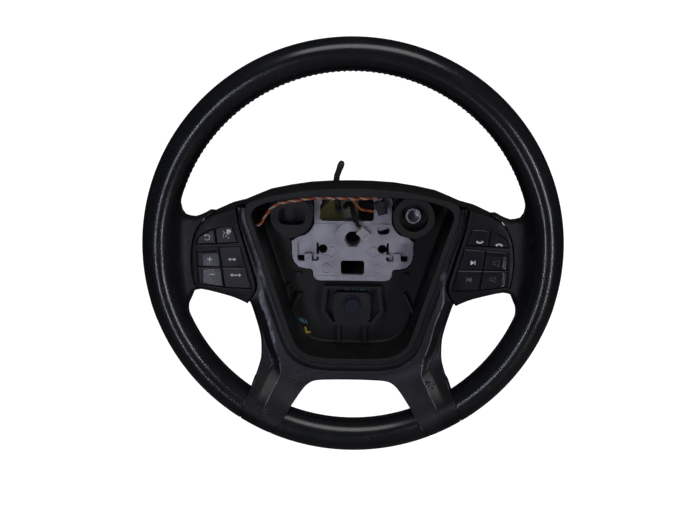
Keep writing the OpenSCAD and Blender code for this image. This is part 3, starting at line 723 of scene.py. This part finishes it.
def smooth_line(points, steps):
    """The same curve as curve_through, but with its end points doubled."""
    p = np.array(points, float)
    out = []
    for i in range(len(p) - 1):
        around = p[max(i - 1, 0)], p[i], p[i + 1], p[min(i + 2, len(p) - 1)]
        out += [catmull_rom(*around, k / steps) for k in range(steps)]
    out.append(p[-1])
    return np.array(out)


def to_polar(line):
    line = np.asarray(line, float)
    return np.stack([np.degrees(np.arctan2(line[:, 0], -line[:, 1])), np.hypot(line[:, 0], line[:, 1])], -1)


def radius_at(outline, angle):
    order = np.argsort(outline[:, 0])
    return np.interp(np.abs(angle), outline[order, 0], outline[order, 1])


SMOOTH = 8
FOLD = 28.8
WELL = smooth_line([
    [0, -107], [16, -107], [32, -105.8], [42, -102.5], [50, -96.5], [55, -88], [62, -67], [74, -30],
    [83.5, 0], [92, 25], [93, 31], [90, 36.5], [83, 40.5], [66, 45], [46, 47.2], [23, 48], [0, 48]], SMOOTH)
BAND_EDGE = to_polar(outset(WELL, BAND_W))
GROOVE_EDGE = to_polar(outset(WELL, BAND_W + GROOVE_W))
CORNER, SHOULDER = [96.5, -52], [106.3, 39]
BOTTOM_LINE = smooth_line([
    [0, -128.5], [18, -128.7], [34, -129.5], [42, -133], [49, -140], polar_point(LOW_SEAM, RIM_IN)], SMOOTH)
LEG_LINE = smooth_line([
    polar_point(HIGH_SEAM, RIM_IN), [89.5, -119.5], [86.6, -109], [86, -98.5], [86.7, -87], [89.4, -75.2],
    [93.2, -62.2], CORNER], SMOOTH)
PARTING = smooth_line([
    CORNER, [92.5, -45.5], [89.5, -40], [88.8, -35], [90, -28], [92.8, -18], [98, 0], [102.5, 16],
    [105, 28.5], SHOULDER], SMOOTH)
CREASE = to_polar(smooth_line([
    [0, -123], [20, -124], [46, -131], [57, -133], [66.3, -128.5], [66.5, -118.5], [68, -108.5],
    [71, -98.5], [74, -89], [78.8, -69], [85.5, -50], [85.5, -30], [92.5, 0], [104, 38]], 3))
LEG_END = to_polar([CORNER])[0, 0]


def spread(line, step_mm):
    """Points at even steps along a line of polar points, with every bend kept."""
    out = [line[0]]
    for a, b in zip(line[:-1], line[1:]):
        length = np.hypot((b[0] - a[0]) * math.pi / 180 * a[1], b[1] - a[1])
        count = max(1, int(length / step_mm))
        out += [a + (b - a) * (k + 1) / count for k in range(count)]
    return np.array(out)


def trim_outline():
    seam_low = [[mix(LOW_SEAM, LOW_SEAM + LEAN, t), mix(RIM_IN, RIM_R, t)] for t in np.linspace(0, 1, 9)]
    seam_high = [[mix(HIGH_SEAM, HIGH_SEAM - LEAN, t), mix(RIM_IN, RIM_R, t)] for t in np.linspace(1, 0, 9)]
    parts = [to_polar(BOTTOM_LINE)[:-1], [[LOW_SEAM - STEP, RIM_IN - 0.3]], seam_low, seam_high,
             [[HIGH_SEAM + STEP, RIM_IN - 0.3]], to_polar(LEG_LINE)[1:], to_polar(PARTING)[1:]]
    line = spread(np.vstack([np.array(p) for p in parts]), 1.4)
    # Closer rows on both sides of the fold
    near = (np.abs(line[:, 0] - FOLD) < 0.7) & (line[:, 1] > RIM_R - 0.01)
    first = int(np.argmax(near))
    fine = np.array([[FOLD + d, RIM_R] for d in (-0.6, -0.36, -0.2, -0.1, 0, 0.1, 0.2, 0.36, 0.6)])
    kept = line[~near]
    return np.vstack([kept[:first], fine, kept[first:]])


def on_collar(angle):
    return (np.abs(angle) >= LOW_SEAM - STEP / 2) & (np.abs(angle) <= HIGH_SEAM + STEP / 2)


def ramp_z(r):
    return mix(PLATE_Z["trim"], HALF_T, ease((r - RAMP_START) / (RING_R - RAMP_START)))


def soft_rise(x, width):
    """Like max(x, 0), with a rounded bend."""
    return width * np.log1p(np.exp(np.clip(x / width, -30, 30)))


def crease_drop(angle, r):
    """How far a leg lies below the plate outside its crease and its fold towards the collar."""
    beyond = np.minimum(r - radius_at(CREASE, angle), np.radians(np.abs(angle) - FOLD) * r)
    fade = (1 - ease((r - 140) / 34)) * (1 - ease((np.abs(angle) - 58) / 5))
    return 0.5 * np.minimum(soft_rise(beyond, 0.3), 12) * fade


def trim_low(angle, edge):
    leg = np.where(np.abs(angle) > 58, -SIDE_Z, -SIDE_Z * (1 - ease((edge - 138) / (RIM_IN - 138))))
    return np.where(on_collar(angle), 0.0, np.where(np.abs(angle) > LEG_END, PLATE_Z["pod"] - 10, leg))


def trim_z(angle, r, edge):
    around = HALF_T * np.sqrt(np.maximum(0, 1 - ((r - RING_R) / HALF_W) ** 2))
    collar = np.where(r < RING_R, ramp_z(r) - crease_drop(angle, r), around)
    round_r = np.where(np.abs(angle) > LEG_END, 1.2, EDGE_ROUND)
    d = np.clip((edge - r) / round_r, 0, 1)
    leg = mix(trim_low(angle, edge), ramp_z(r) - crease_drop(angle, r), np.sqrt(1 - (1 - d) ** 2))
    return np.where(on_collar(angle), collar, leg)


PIT_SPREAD = 0.6
# Places where the legs are pitted: x, y and how far the pits reach
PITTED = [(-54, -124, 7), (-47, -125.5, 6), (73, -127, 8), (66, -120, 5), (-82, -150, 7), (82, -152, 7)]


def trim_wear_and_highlight(obj, points, angle, r, crease):
    """Pale wear along the creases with a painted highlight on the crease lines, a broad rubbed streak on the
    left leg, painted shade outside the creases and on the collar by the rim, and pits.
    """
    x, y = points[..., 0], points[..., 1]
    outside = np.abs(angle) > FOLD
    fold = np.radians(np.abs(angle) - FOLD) * r
    # The crease lines: rubbed paint and a painted highlight together.
    line = np.exp(-((r - crease) / 0.55) ** 2) * outside + np.exp(-(fold / 0.6) ** 2) * (r > crease)
    line = np.clip(line, 0, 1) * ease((172 - r) / 12)
    line = line * (1 - ease((y + 15) / 30))
    streak = np.exp(-((r - crease + 1.9) / 1.7) ** 2) * (x < 0)
    streak = streak * ease((y + 104) / 20) * (1 - ease((y + 66) / 12))
    strip = np.exp(-((r - crease + 2) / 3) ** 2) * ease((y + 66) / 12) * (1 - ease((y - 25) / 20)) * 0.45
    # Painted shade: beyond the creases on the legs, and on the collar by the rim.
    outer = np.where(outside, ease((r - crease) / 1.5), 0) * (1 - ease((np.abs(angle) - 58) / 5))
    collar = ease((r - 150) / 12)
    store(obj, "trim_shade", np.clip(outer * 0.75 + collar * 0.45, 0, 1).ravel())
    store(obj, "wear_and_highlight", np.clip(line + streak + strip * np.where(x < 0, 1.3, 0.6), 0, 1).ravel())
    pits = sum(np.exp(-((x - px) ** 2 + (y - py) ** 2) / (2 * (reach * PIT_SPREAD) ** 2))
               for px, py, reach in PITTED)
    store(obj, "pits", np.clip(pits, 0, 1).ravel())


def trim_mesh():
    half = trim_outline()
    mirrored = half[::-1][:-1] * [-1, 1]
    outline = np.vstack([mirrored, half])
    angle, edge = outline[:, :1], outline[:, 1:]
    ledge = radius_at(BAND_EDGE, angle) + 0.3
    groove = radius_at(GROOVE_EDGE, angle)
    inner = groove + 0.9
    crease = radius_at(CREASE, angle)
    middle = np.where(on_collar(angle) & (np.abs(angle) < FOLD), mix(inner, RING_R, 0.6), crease)
    kept = np.maximum(mix(inner, edge, 0.2), np.minimum(mix(inner, edge, 0.7), middle))
    near = np.array([-3, -1.6, -0.9, -0.45, 0, 0.45, 0.9, 1.6, 3]) / 4
    span = np.minimum(kept - inner, edge - kept)
    levels = [mix(inner, kept, t) for t in (0, 0.06, 0.16, 0.3, 0.45)]
    levels += [kept + span * 0.5 * t for t in near]
    beyond = kept + span * 0.5 * near[-1]
    levels += [mix(beyond, edge, math.sin(math.pi / 2 * t)) for t in np.linspace(0.08, 1, 18)]
    levels = np.hstack(levels)
    z = trim_z(angle, levels, edge)
    turn = np.radians([0, 22, 45, 68, 90])
    lip_r = groove + 0.9 * (1 - np.cos(turn))
    lip_z = z[:, :1] - 0.9 + 0.9 * np.sin(turn)
    low = trim_low(angle, edge)
    side = np.minimum(SKIN_T, (edge - groove) * 0.35)
    limit = np.where(on_collar(angle), np.minimum(edge, RIM_R - SKIN_T), edge - side)
    count = levels.shape[1]
    back = [count - 1, count - 4, count - 8, count - 12, 14, 9, 4, 0]
    inside_r = np.hstack([np.minimum(levels[:, k:k + 1], limit) for k in back])
    free = inside_r < np.minimum(edge, RIM_IN) - 5
    inside_z = np.hstack([z[:, k:k + 1] - SKIN_T for k in back])
    inside_z = np.where(free, inside_z, np.maximum(inside_z, low + 0.02 * np.arange(1, len(back) + 1)))
    r = np.hstack([ledge, ledge, groove - 0.6, lip_r[:, :-1], levels, inside_r, groove + 0.6])
    floor = np.full_like(ledge, PLATE_Z["groove"])
    h = np.hstack([floor - LEDGE_T, floor, floor, lip_z[:, :-1], z, inside_z, floor - LEDGE_T])
    a = np.radians(angle)
    points = np.stack([r * np.sin(a), -r * np.cos(a), h], -1)
    rows, cols = points.shape[:2]
    faces = grid_faces(rows, cols)
    faces += [tuple(range(cols))[::-1], tuple(range((rows - 1) * cols, rows * cols))]
    obj = piece("trim_skin", points.reshape(-1, 3), faces, "trim")
    trim_wear_and_highlight(obj, points, angle, r, crease)
    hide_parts("spoke_trim")
    face_out(obj)
    sharpen(obj, 40)


trim_mesh()

# CAD nodes that keep their shape

for node, material, bevel in (
        ("armature", "alloy", 0.5), ("hub_boss", "alloy", 0.4), ("rim_core", "dark_steel", 0),
        ("rear_cover", "cover", 0), ("well_liner", "liner", 0.3),
        ("left_switch_housing", "pod", 0.3), ("right_switch_housing", "pod", 0.3),
        ("left_switch_board", "board", 0), ("right_switch_board", "board", 0),
        ("left_key_mat", "rubber", 0), ("right_key_mat", "rubber", 0),
        ("right_guide_bush", "steel", 0.3), ("recess_screw", "dark_steel", 0.4),
        ("cover_screws", "steel", 0.3), ("black_plug", "plug_black", 0.5),
        ("white_connector", "plug_white", 0.4), ("rear_lead_cap", "cap", 0),
        ("rear_lead", "lead", 0)):
    dress(node, material, bevel)
for node in nodes:
    if "_key_" in node and not node.endswith("_mat"):
        dress(node, "key", 0.3)


# Signs on the keys; every stroke is a thin raised ribbon

KEY_FACE = -0.8


def ribbon(line, width):
    """A flat band along a line of 2-D points, as points and faces."""
    p = np.asarray(line, float)
    along = np.gradient(p, axis=0)
    along /= np.linalg.norm(along, axis=1, keepdims=True)
    side = np.stack([-along[:, 1], along[:, 0]], -1) * width / 2
    points = np.stack([p + side, p - side], 1).reshape(-1, 2)
    return points, [(2 * i, 2 * i + 1, 2 * i + 3, 2 * i + 2) for i in range(len(p) - 1)]


def arc(x, y, r, start, stop, count=24):
    t = np.radians(np.linspace(start, stop, count))
    return np.stack([x + r * np.cos(t), y + r * np.sin(t)], -1)


def sign(name, node, at, material, strokes=(), fills=(), z=KEY_FACE):
    points, faces = [], []
    for level, (path, width) in enumerate(strokes):
        made, quads = ribbon(path, width)
        faces += [tuple(i + len(points) for i in q) for q in quads]
        points += [(x + at[0], y + at[1], z + 0.04 + 0.004 * level) for x, y in made]
    for level, path in enumerate(fills):
        faces.append(tuple(range(len(points), len(points) + len(path))))
        points += [(x + at[0], y + at[1], z + 0.03 + 0.004 * level) for x, y in path]
    return piece(name, points, faces, material, BODY_OF[node], smooth=False)


def double_arrow(half):
    left = [(-half, 0), (-half + 2.2, -1.7), (-half + 2.2, 1.7)]
    right = [(half, 0), (half - 2.2, 1.7), (half - 2.2, -1.7)]
    return [([(-half + 1.6, 0), (half - 1.6, 0)], 0.8)], [left, right]


def handset(turn):
    """A telephone handset lying on its side, as one filled outline."""
    top = arc(0, -4.2, 5.3, 128, 52, 12)
    under = arc(0, -4.2, 3.9, 58, 122, 12)
    ends = np.vstack([top, [(3.1, -1.2)], [(1.6, -1.9)], under, [(-1.6, -1.9)], [(-3.1, -1.2)]])
    c, s = math.cos(math.radians(turn)), math.sin(math.radians(turn))
    return [(c * x - s * y, s * x + c * y) for x, y in ends]


def speaker():
    line = [(-2.6, 1.1), (-0.9, 1.1), (2.2, 3.2), (2.2, -3.2), (-0.9, -1.1), (-2.6, -1.1), (-2.6, 1.1)]
    return [(line, 0.45)]


sign("sign_plus", "left_key_plus", (-130.9, -9.1), "sign",
     [([(-2.2, 0), (2.2, 0)], 0.8), ([(0, -2.2), (0, 2.2)], 0.8)])
sign("sign_minus", "left_key_minus", (-129.2, -23.3), "sign", [([(-2.1, 0), (2.1, 0)], 0.8)])
sign("sign_gap_short", "left_key_gap_short", (-110.2, -9), "sign", *double_arrow(3.8))
sign("sign_gap_long", "left_key_gap_long", (-107.1, -23.9), "sign", *double_arrow(5.2))
sign("sign_resume", "left_key_resume", (-132.9, 11.4), "sign", [(arc(0, 0, 2.4, 128, -150), 0.5)],
     [[(-2.9, 1.9), (-0.9, 2.9), (-1.1, 0.9)]])
sign("sign_gauge", "left_key_cruise", (-115.3, 13.0), "sign",
     [(arc(0, 0, 2.8, 215, 20), 0.45), ([(-0.9, -0.9), (1.5, 1.4)], 0.5), ([(-2.9, 4.4), (-1.4, 3.1)], 0.5),
      (arc(0, 0, 2.8, -20, -60, 8), 0.45)])
sign("sign_call", "right_key_phone_accept", (116.5, 9.6), "sign", fills=[handset(180)])
sign("sign_end", "right_key_phone_end", (134.3, 7.6), "sign", fills=[handset(-3)])
sign("sign_next", "right_key_next", (111, -9.5), "sign", [([(1.9, -2.1), (1.9, 2.1)], 0.7)],
     [[(-2.2, -2.3), (1.6, 0), (-2.2, 2.3)]])
sign("sign_previous", "right_key_previous", (107.9, -25.5), "faint_sign",
     [([(-1.9, -2.1), (-1.9, 2.1)], 0.7)], [[(2.2, -2.3), (2.2, 2.3), (-1.6, 0)]])
sign("sign_louder", "right_key_volume_up", (132.4, -9.7), "faint_sign", speaker())
sign("sign_softer", "right_key_volume_down", (129.8, -24.9), "faint_sign", speaker())

# Raised slopes on the outer side of four keys

SLOPE_RISE = 0.95


def key_slope(node, side, top):
    """A skin over a key's face that rises towards its outer side, and towards its top edge."""
    own = np.array([tuple(v.co) for v in nodes[node].data.vertices]) / MM
    flat = own[:, [0, 2]][own[:, 1] < own[:, 1].min() + 0.1]
    corners = []
    for sx, sy in ((side, -1), (-side, -1), (-side, 1), (side, 1)):
        corners.append(flat[np.argmax(flat @ [sx, sy])])
    corners = np.array(corners)
    inner = corners + (corners.mean(0) - corners) * 0.055
    count = 25
    u, v = np.meshgrid(np.linspace(0, 1, count), np.linspace(0, 1, count), indexing="ij")
    w = np.stack([(1 - u) * (1 - v), u * (1 - v), u * v, (1 - u) * v], -1)
    xy = w @ inner
    wide = np.hypot(*(inner[0] - inner[1]))
    tall = np.hypot(*(inner[0] - inner[3]))
    rise = 1 - ease(u * wide / 4.2)
    if top:
        rise = np.minimum(1, np.hypot(rise, 1 - ease((1 - v) * tall / 3.2)))
    rise = rise * ease(u * wide / 0.5) * (ease((1 - v) * tall / 0.5) if top else 1)
    skin = np.concatenate([xy, (KEY_FACE + 0.012 + SLOPE_RISE * rise)[..., None]], -1).reshape(-1, 3)
    border = [k for k in range(count)] + [k * count + count - 1 for k in range(1, count)]
    border += [count * count - 1 - k for k in range(1, count)] + [k * count for k in range(count - 2, 0, -1)]
    under = skin[border] * [1, 1, 0] + [0, 0, KEY_FACE - 0.05]
    points = np.vstack([skin, under])
    base = len(skin)
    faces = grid_faces(count, count, loop=False)
    faces += [(border[k], border[(k + 1) % len(border)], base + (k + 1) % len(border), base + k)
              for k in range(len(border))]
    faces.append(tuple(base + k for k in range(len(border))))
    obj = piece(node + "_slope", points, faces, "key_gloss", BODY_OF[node])
    face_out(obj)
    sharpen(obj, 50)


key_slope("left_key_plus", -1, True)
key_slope("left_key_minus", -1, False)
key_slope("right_key_volume_up", 1, True)
key_slope("right_key_volume_down", 1, False)

# Paint and chalk daubs

FLOOR_PAD, FLOOR_LOW = -60.0, -62.0


def daub(name, material, level, lines, width, body="wheel"):
    points, faces = [], []
    for k, path in enumerate(lines):
        made, quads = ribbon(path, width)
        faces += [tuple(i + len(points) for i in q) for q in quads]
        points += [(x, y, level + 0.06 + 0.01 * k) for x, y in made]
    return piece(name, points, faces, material, body, smooth=False)


daub("chalk_upper", "blue", FLOOR_PAD, [
    [(-6.5, -50.2), (-6.9, -53.4)], [(-3.2, -50.4), (-4.4, -51.8), (-3.4, -53.2)],
    [(0.6, -50.3), (0.3, -53.3)],
    [(4.2, -50.4), (4.0, -53.2)], [(7.4, -51.6), (9.6, -51.2), (12.8, -51.9)]], 0.8)
daub("chalk_lower", "blue", FLOOR_LOW, [
    [(-52.6, -81.6), (-50.0, -85.6)], [(-50.0, -81.8), (-47.4, -86.8)],
    [(-46.6, -83.0), (-45.0, -87.2)]], 0.9)
daub("paint_corner", "yellow", FLOOR_LOW, [
    [(-46.6, -90.6), (-45.2, -97.0)], [(-45.6, -96.6), (-41.2, -95.8)]], 2.0)
daub("paint_dot", "sign", FLOOR_LOW, [[(-60.9, -49.7), (-60.1, -49.7)]], 0.9)


def spilt_dot():
    """A blob of white paint with a dark pit, dried on the key with the gauge."""
    rings, sides = 6, 24
    blob_x, blob_y, blob_r = -113, 17.2, 2.1
    points = [(blob_x, blob_y, KEY_FACE + 0.55)]
    for k in range(1, rings + 1):
        t = k / rings
        for a in np.arange(sides) * 2 * math.pi / sides:
            radius = blob_r * t * (1 + 0.08 * math.sin(3 * a + 1))
            points.append((blob_x + radius * math.cos(a), blob_y + radius * math.sin(a),
                           KEY_FACE - 0.03 + 0.58 * math.sqrt(1 - t * t)))
    faces = [(0, 1 + k, 1 + (k + 1) % sides) for k in range(sides)]
    faces += [tuple(1 + i for i in f) for f in grid_faces(rings, sides)]
    piece("paint_blob", points, faces, "sign", BODY_OF["left_key_cruise"])


spilt_dot()
daub("paint_pit", "black", KEY_FACE + 0.55, [[(-113.4, 16.6), (-112.6, 16.6)]], 0.8,
     BODY_OF["left_key_cruise"])

# Wires: three insulated strands twisted together, and their parts

HORN_ROUTE = [
    [-94, 18.5, -28], [-88, 19, -28], [-84, 23.5, -27], [-81, 29, -26], [-76, 35, -25], [-70, 39, -25],
    [-58, 41.8, -25.2], [-46, 43.6, -25.2], [-34, 44.6, -29], [-22, 44.8, -31], [-10, 44, -33],
    [0, 43.2, -35], [10, 43, -37], [18, 43.6, -40], [23.4, 43.6, -44], [25.2, 40, -46.5]]
TAIL_ROUTE = [[1, 41, -37], [3, 36.4, -40], [8, 32, -43], [14, 30, -46], [20, 29, -48]]
TAPED_ROUTE = [[-8, 28, -80], [-6, 32, -72], [-3, 34, -62], [-0.5, 32, -53], [1, 26, -48], [3, 20, -48],
               [6, 13.5, -50]]


def twisted(name, route, colors, strand_d, twist_r, pitch, node, wobble=0.0):
    """Strands wound round a route, one mesh for each colour."""
    path = curve_through(np.array(route, float), 14)
    _, side, up = frames(path)
    run = np.concatenate([[0], np.cumsum(np.linalg.norm(np.diff(path, axis=0), axis=1))])
    for k, color in enumerate(colors):
        turn = 2 * math.pi * (run / pitch + k / len(colors)) + wobble * np.sin(run / 7 + k)
        strand = path + twist_r * (np.cos(turn)[:, None] * side + np.sin(turn)[:, None] * up)
        obj = tube_along(f"{name}_{color}", strand, strand_d, color)
        if k == 0:
            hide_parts(node)


twisted("horn_strand", HORN_ROUTE, ("orange", "white", "red"), 1.45, 0.78, 11, "horn_wires", 0.5)
twisted("tail_strand", TAIL_ROUTE, ("orange", "red"), 1.3, 0.66, 16, "horn_wire_tail", 0.3)


def taped():
    """A lead wound with cloth tape, whose windings overlap."""
    path = curve_through(np.array(TAPED_ROUTE, float), 14)
    run = np.concatenate([[0], np.cumsum(np.linalg.norm(np.diff(path, axis=0), axis=1))])
    size = 4.9 + 0.45 * ((run / 6) % 1) + 0.2 * np.sin(run * 0.9)
    size = np.minimum(size, 5.2) * np.where(run > run[-1] - 6, 0.75, 1.0)
    obj = tube_along("taped_lead_shown", path, size, "tape", sides=16)
    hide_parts("taped_lead")


taped()
for k, (color, shift) in enumerate((("red", (-0.9, 0.3)), ("black", (0.7, 0.9)), ("red", (0.4, -0.9)))):
    dx, dy = shift
    route = [[3.2 + dx, 19 + dy, -48], [5.2 + dx, 15.4, -49 + dy], [7.2 + dx, 11.2, -51 + dy]]
    tube(f"connector_wire_{k}", route, 1.1, color)
for k in range(4):
    top = 37.5 - 2.2 * k
    route = [[23.5, top, -43 - k], [18, top - 0.6 + k, -45], [12, 36.5 - 1.5 * k, -48], [6, 33.5 - k, -52]]
    tube(f"plug_wire_{k}", route, 1.0, "black")


# Stage: a pale floor that curves up into a backdrop

FLOOR_Z = -0.62
BACK_Y = 2.6
BEND = 1.2


def dark_card():
    """A sheet of painted shade behind the hub, with painted lit patches, that keeps the bright backdrop out
    of its holes; seen only from the front.
    """
    at, radius, sides = (0, -12, -112), 47, 48
    turn = np.arange(sides) * 2 * math.pi / sides
    rim = np.stack([at[0] + radius * np.cos(turn), at[1] + radius * np.sin(turn), 0 * turn + at[2]], -1)
    mesh = bpy.data.meshes.new("hub_shade")
    mesh.from_pydata([tuple(q) for q in place(rim)], [], [tuple(range(sides))])
    s = Shader("hub_shade", (0.01, 0.01, 0.01), 0.9, spec=0.1)
    upper = s.ramp(s.axis(2), 0.002, 0.012)
    # Painted light seen through the holes: an olive lit patch upper left, pale grey upper middle, grey lower
    # right.
    s.tint(s.math("MULTIPLY", s.ramp(s.axis(0), -0.016, -0.006, 0.9, 0), upper), (0.2, 0.19, 0.07))
    s.tint(s.math("MULTIPLY", s.ramp(s.axis(0), -0.014, -0.006, 0, 1),
                  s.math("MULTIPLY", s.ramp(s.axis(0), 0, 0.006, 1, 0), upper)), (0.3, 0.3, 0.28))
    s.tint(s.math("MULTIPLY", s.ramp(s.axis(0), -0.006, 0.01, 0, 0.8), s.ramp(s.axis(2), -0.04, -0.045)),
           (0.14, 0.14, 0.14))
    clear = s.node("ShaderNodeBsdfTransparent")
    mixed = s.node("ShaderNodeMixShader")
    facing = s.node("ShaderNodeNewGeometry").outputs["Backfacing"]
    s.link(facing, mixed.inputs[0])
    s.link(s.bsdf.outputs[0], mixed.inputs[1])
    s.link(clear.outputs[0], mixed.inputs[2])
    s.link(mixed.outputs[0], s.tree.nodes["Material Output"].inputs["Surface"])
    mesh.materials.append(s.mat)
    obj = bpy.data.objects.new("hub_shade", mesh)
    bpy.context.scene.collection.objects.link(obj)


dark_card()


def stage():
    profile = [(-4.0, FLOOR_Z), (BACK_Y - BEND, FLOOR_Z)]
    profile += [(BACK_Y - BEND + BEND * math.sin(t), FLOOR_Z + BEND * (1 - math.cos(t)))
                for t in np.radians(np.arange(5, 90, 5))]
    profile += [(BACK_Y, FLOOR_Z + BEND), (BACK_Y, 5.0)]
    mesh = bpy.data.meshes.new("backdrop")
    points = [(x, y, z) for y, z in profile for x in (-6.0, 6.0)]
    faces = [(2 * i, 2 * i + 1, 2 * i + 3, 2 * i + 2) for i in range(len(profile) - 1)]
    mesh.from_pydata(points, [], faces)
    mesh.polygons.foreach_set("use_smooth", [True] * len(faces))
    s = Shader("backdrop_paper", (0.22, 0.22, 0.22), 0.9, spec=0.1)
    s.set("Emission Color", (1, 1, 1, 1))
    lit = s.node("ShaderNodeLightPath")
    s.link(s.math("MULTIPLY", lit.outputs["Is Camera Ray"], 1.1), s.bsdf.inputs["Emission Strength"])
    mesh.materials.append(s.mat)
    obj = bpy.data.objects.new("backdrop", mesh)
    bpy.context.scene.collection.objects.link(obj)


stage()

# Lights

world = bpy.data.worlds.new("studio")
bpy.context.scene.world = world
world.use_nodes = True
world.node_tree.nodes["Background"].inputs["Color"].default_value = (0.8, 0.86, 1.0, 1)
world.node_tree.nodes["Background"].inputs["Strength"].default_value = 0.04


def area(name, at, look, width, height, power, color=(1, 1, 1)):
    lamp = bpy.data.lights.new(name, "AREA")
    lamp.shape = "RECTANGLE"
    lamp.size, lamp.size_y = width, height
    lamp.energy = power
    lamp.color = color
    obj = bpy.data.objects.new(name, lamp)
    bpy.context.scene.collection.objects.link(obj)
    obj.location = at
    obj.rotation_euler = (Vector(look) - Vector(at)).to_track_quat("-Z", "Y").to_euler()
    return obj


RIM_AT = (0, -0.09, 0)
area("overhead", (0.1, -0.9, 1.6), RIM_AT, 1.4, 0.8, 11)
area("left_strip", (-0.45, -1.55, -0.35), RIM_AT, 0.05, 1.4, 5.5, (0.8, 0.82, 1.0))
area("right_strip", (1.02, -1.6, -0.35), RIM_AT, 0.07, 1.6, 10, (0.96, 0.96, 1.0))
area("low_fill", (0.0, -1.2, -0.9), RIM_AT, 1.2, 0.4, 1.6, (0.94, 0.95, 1.0))
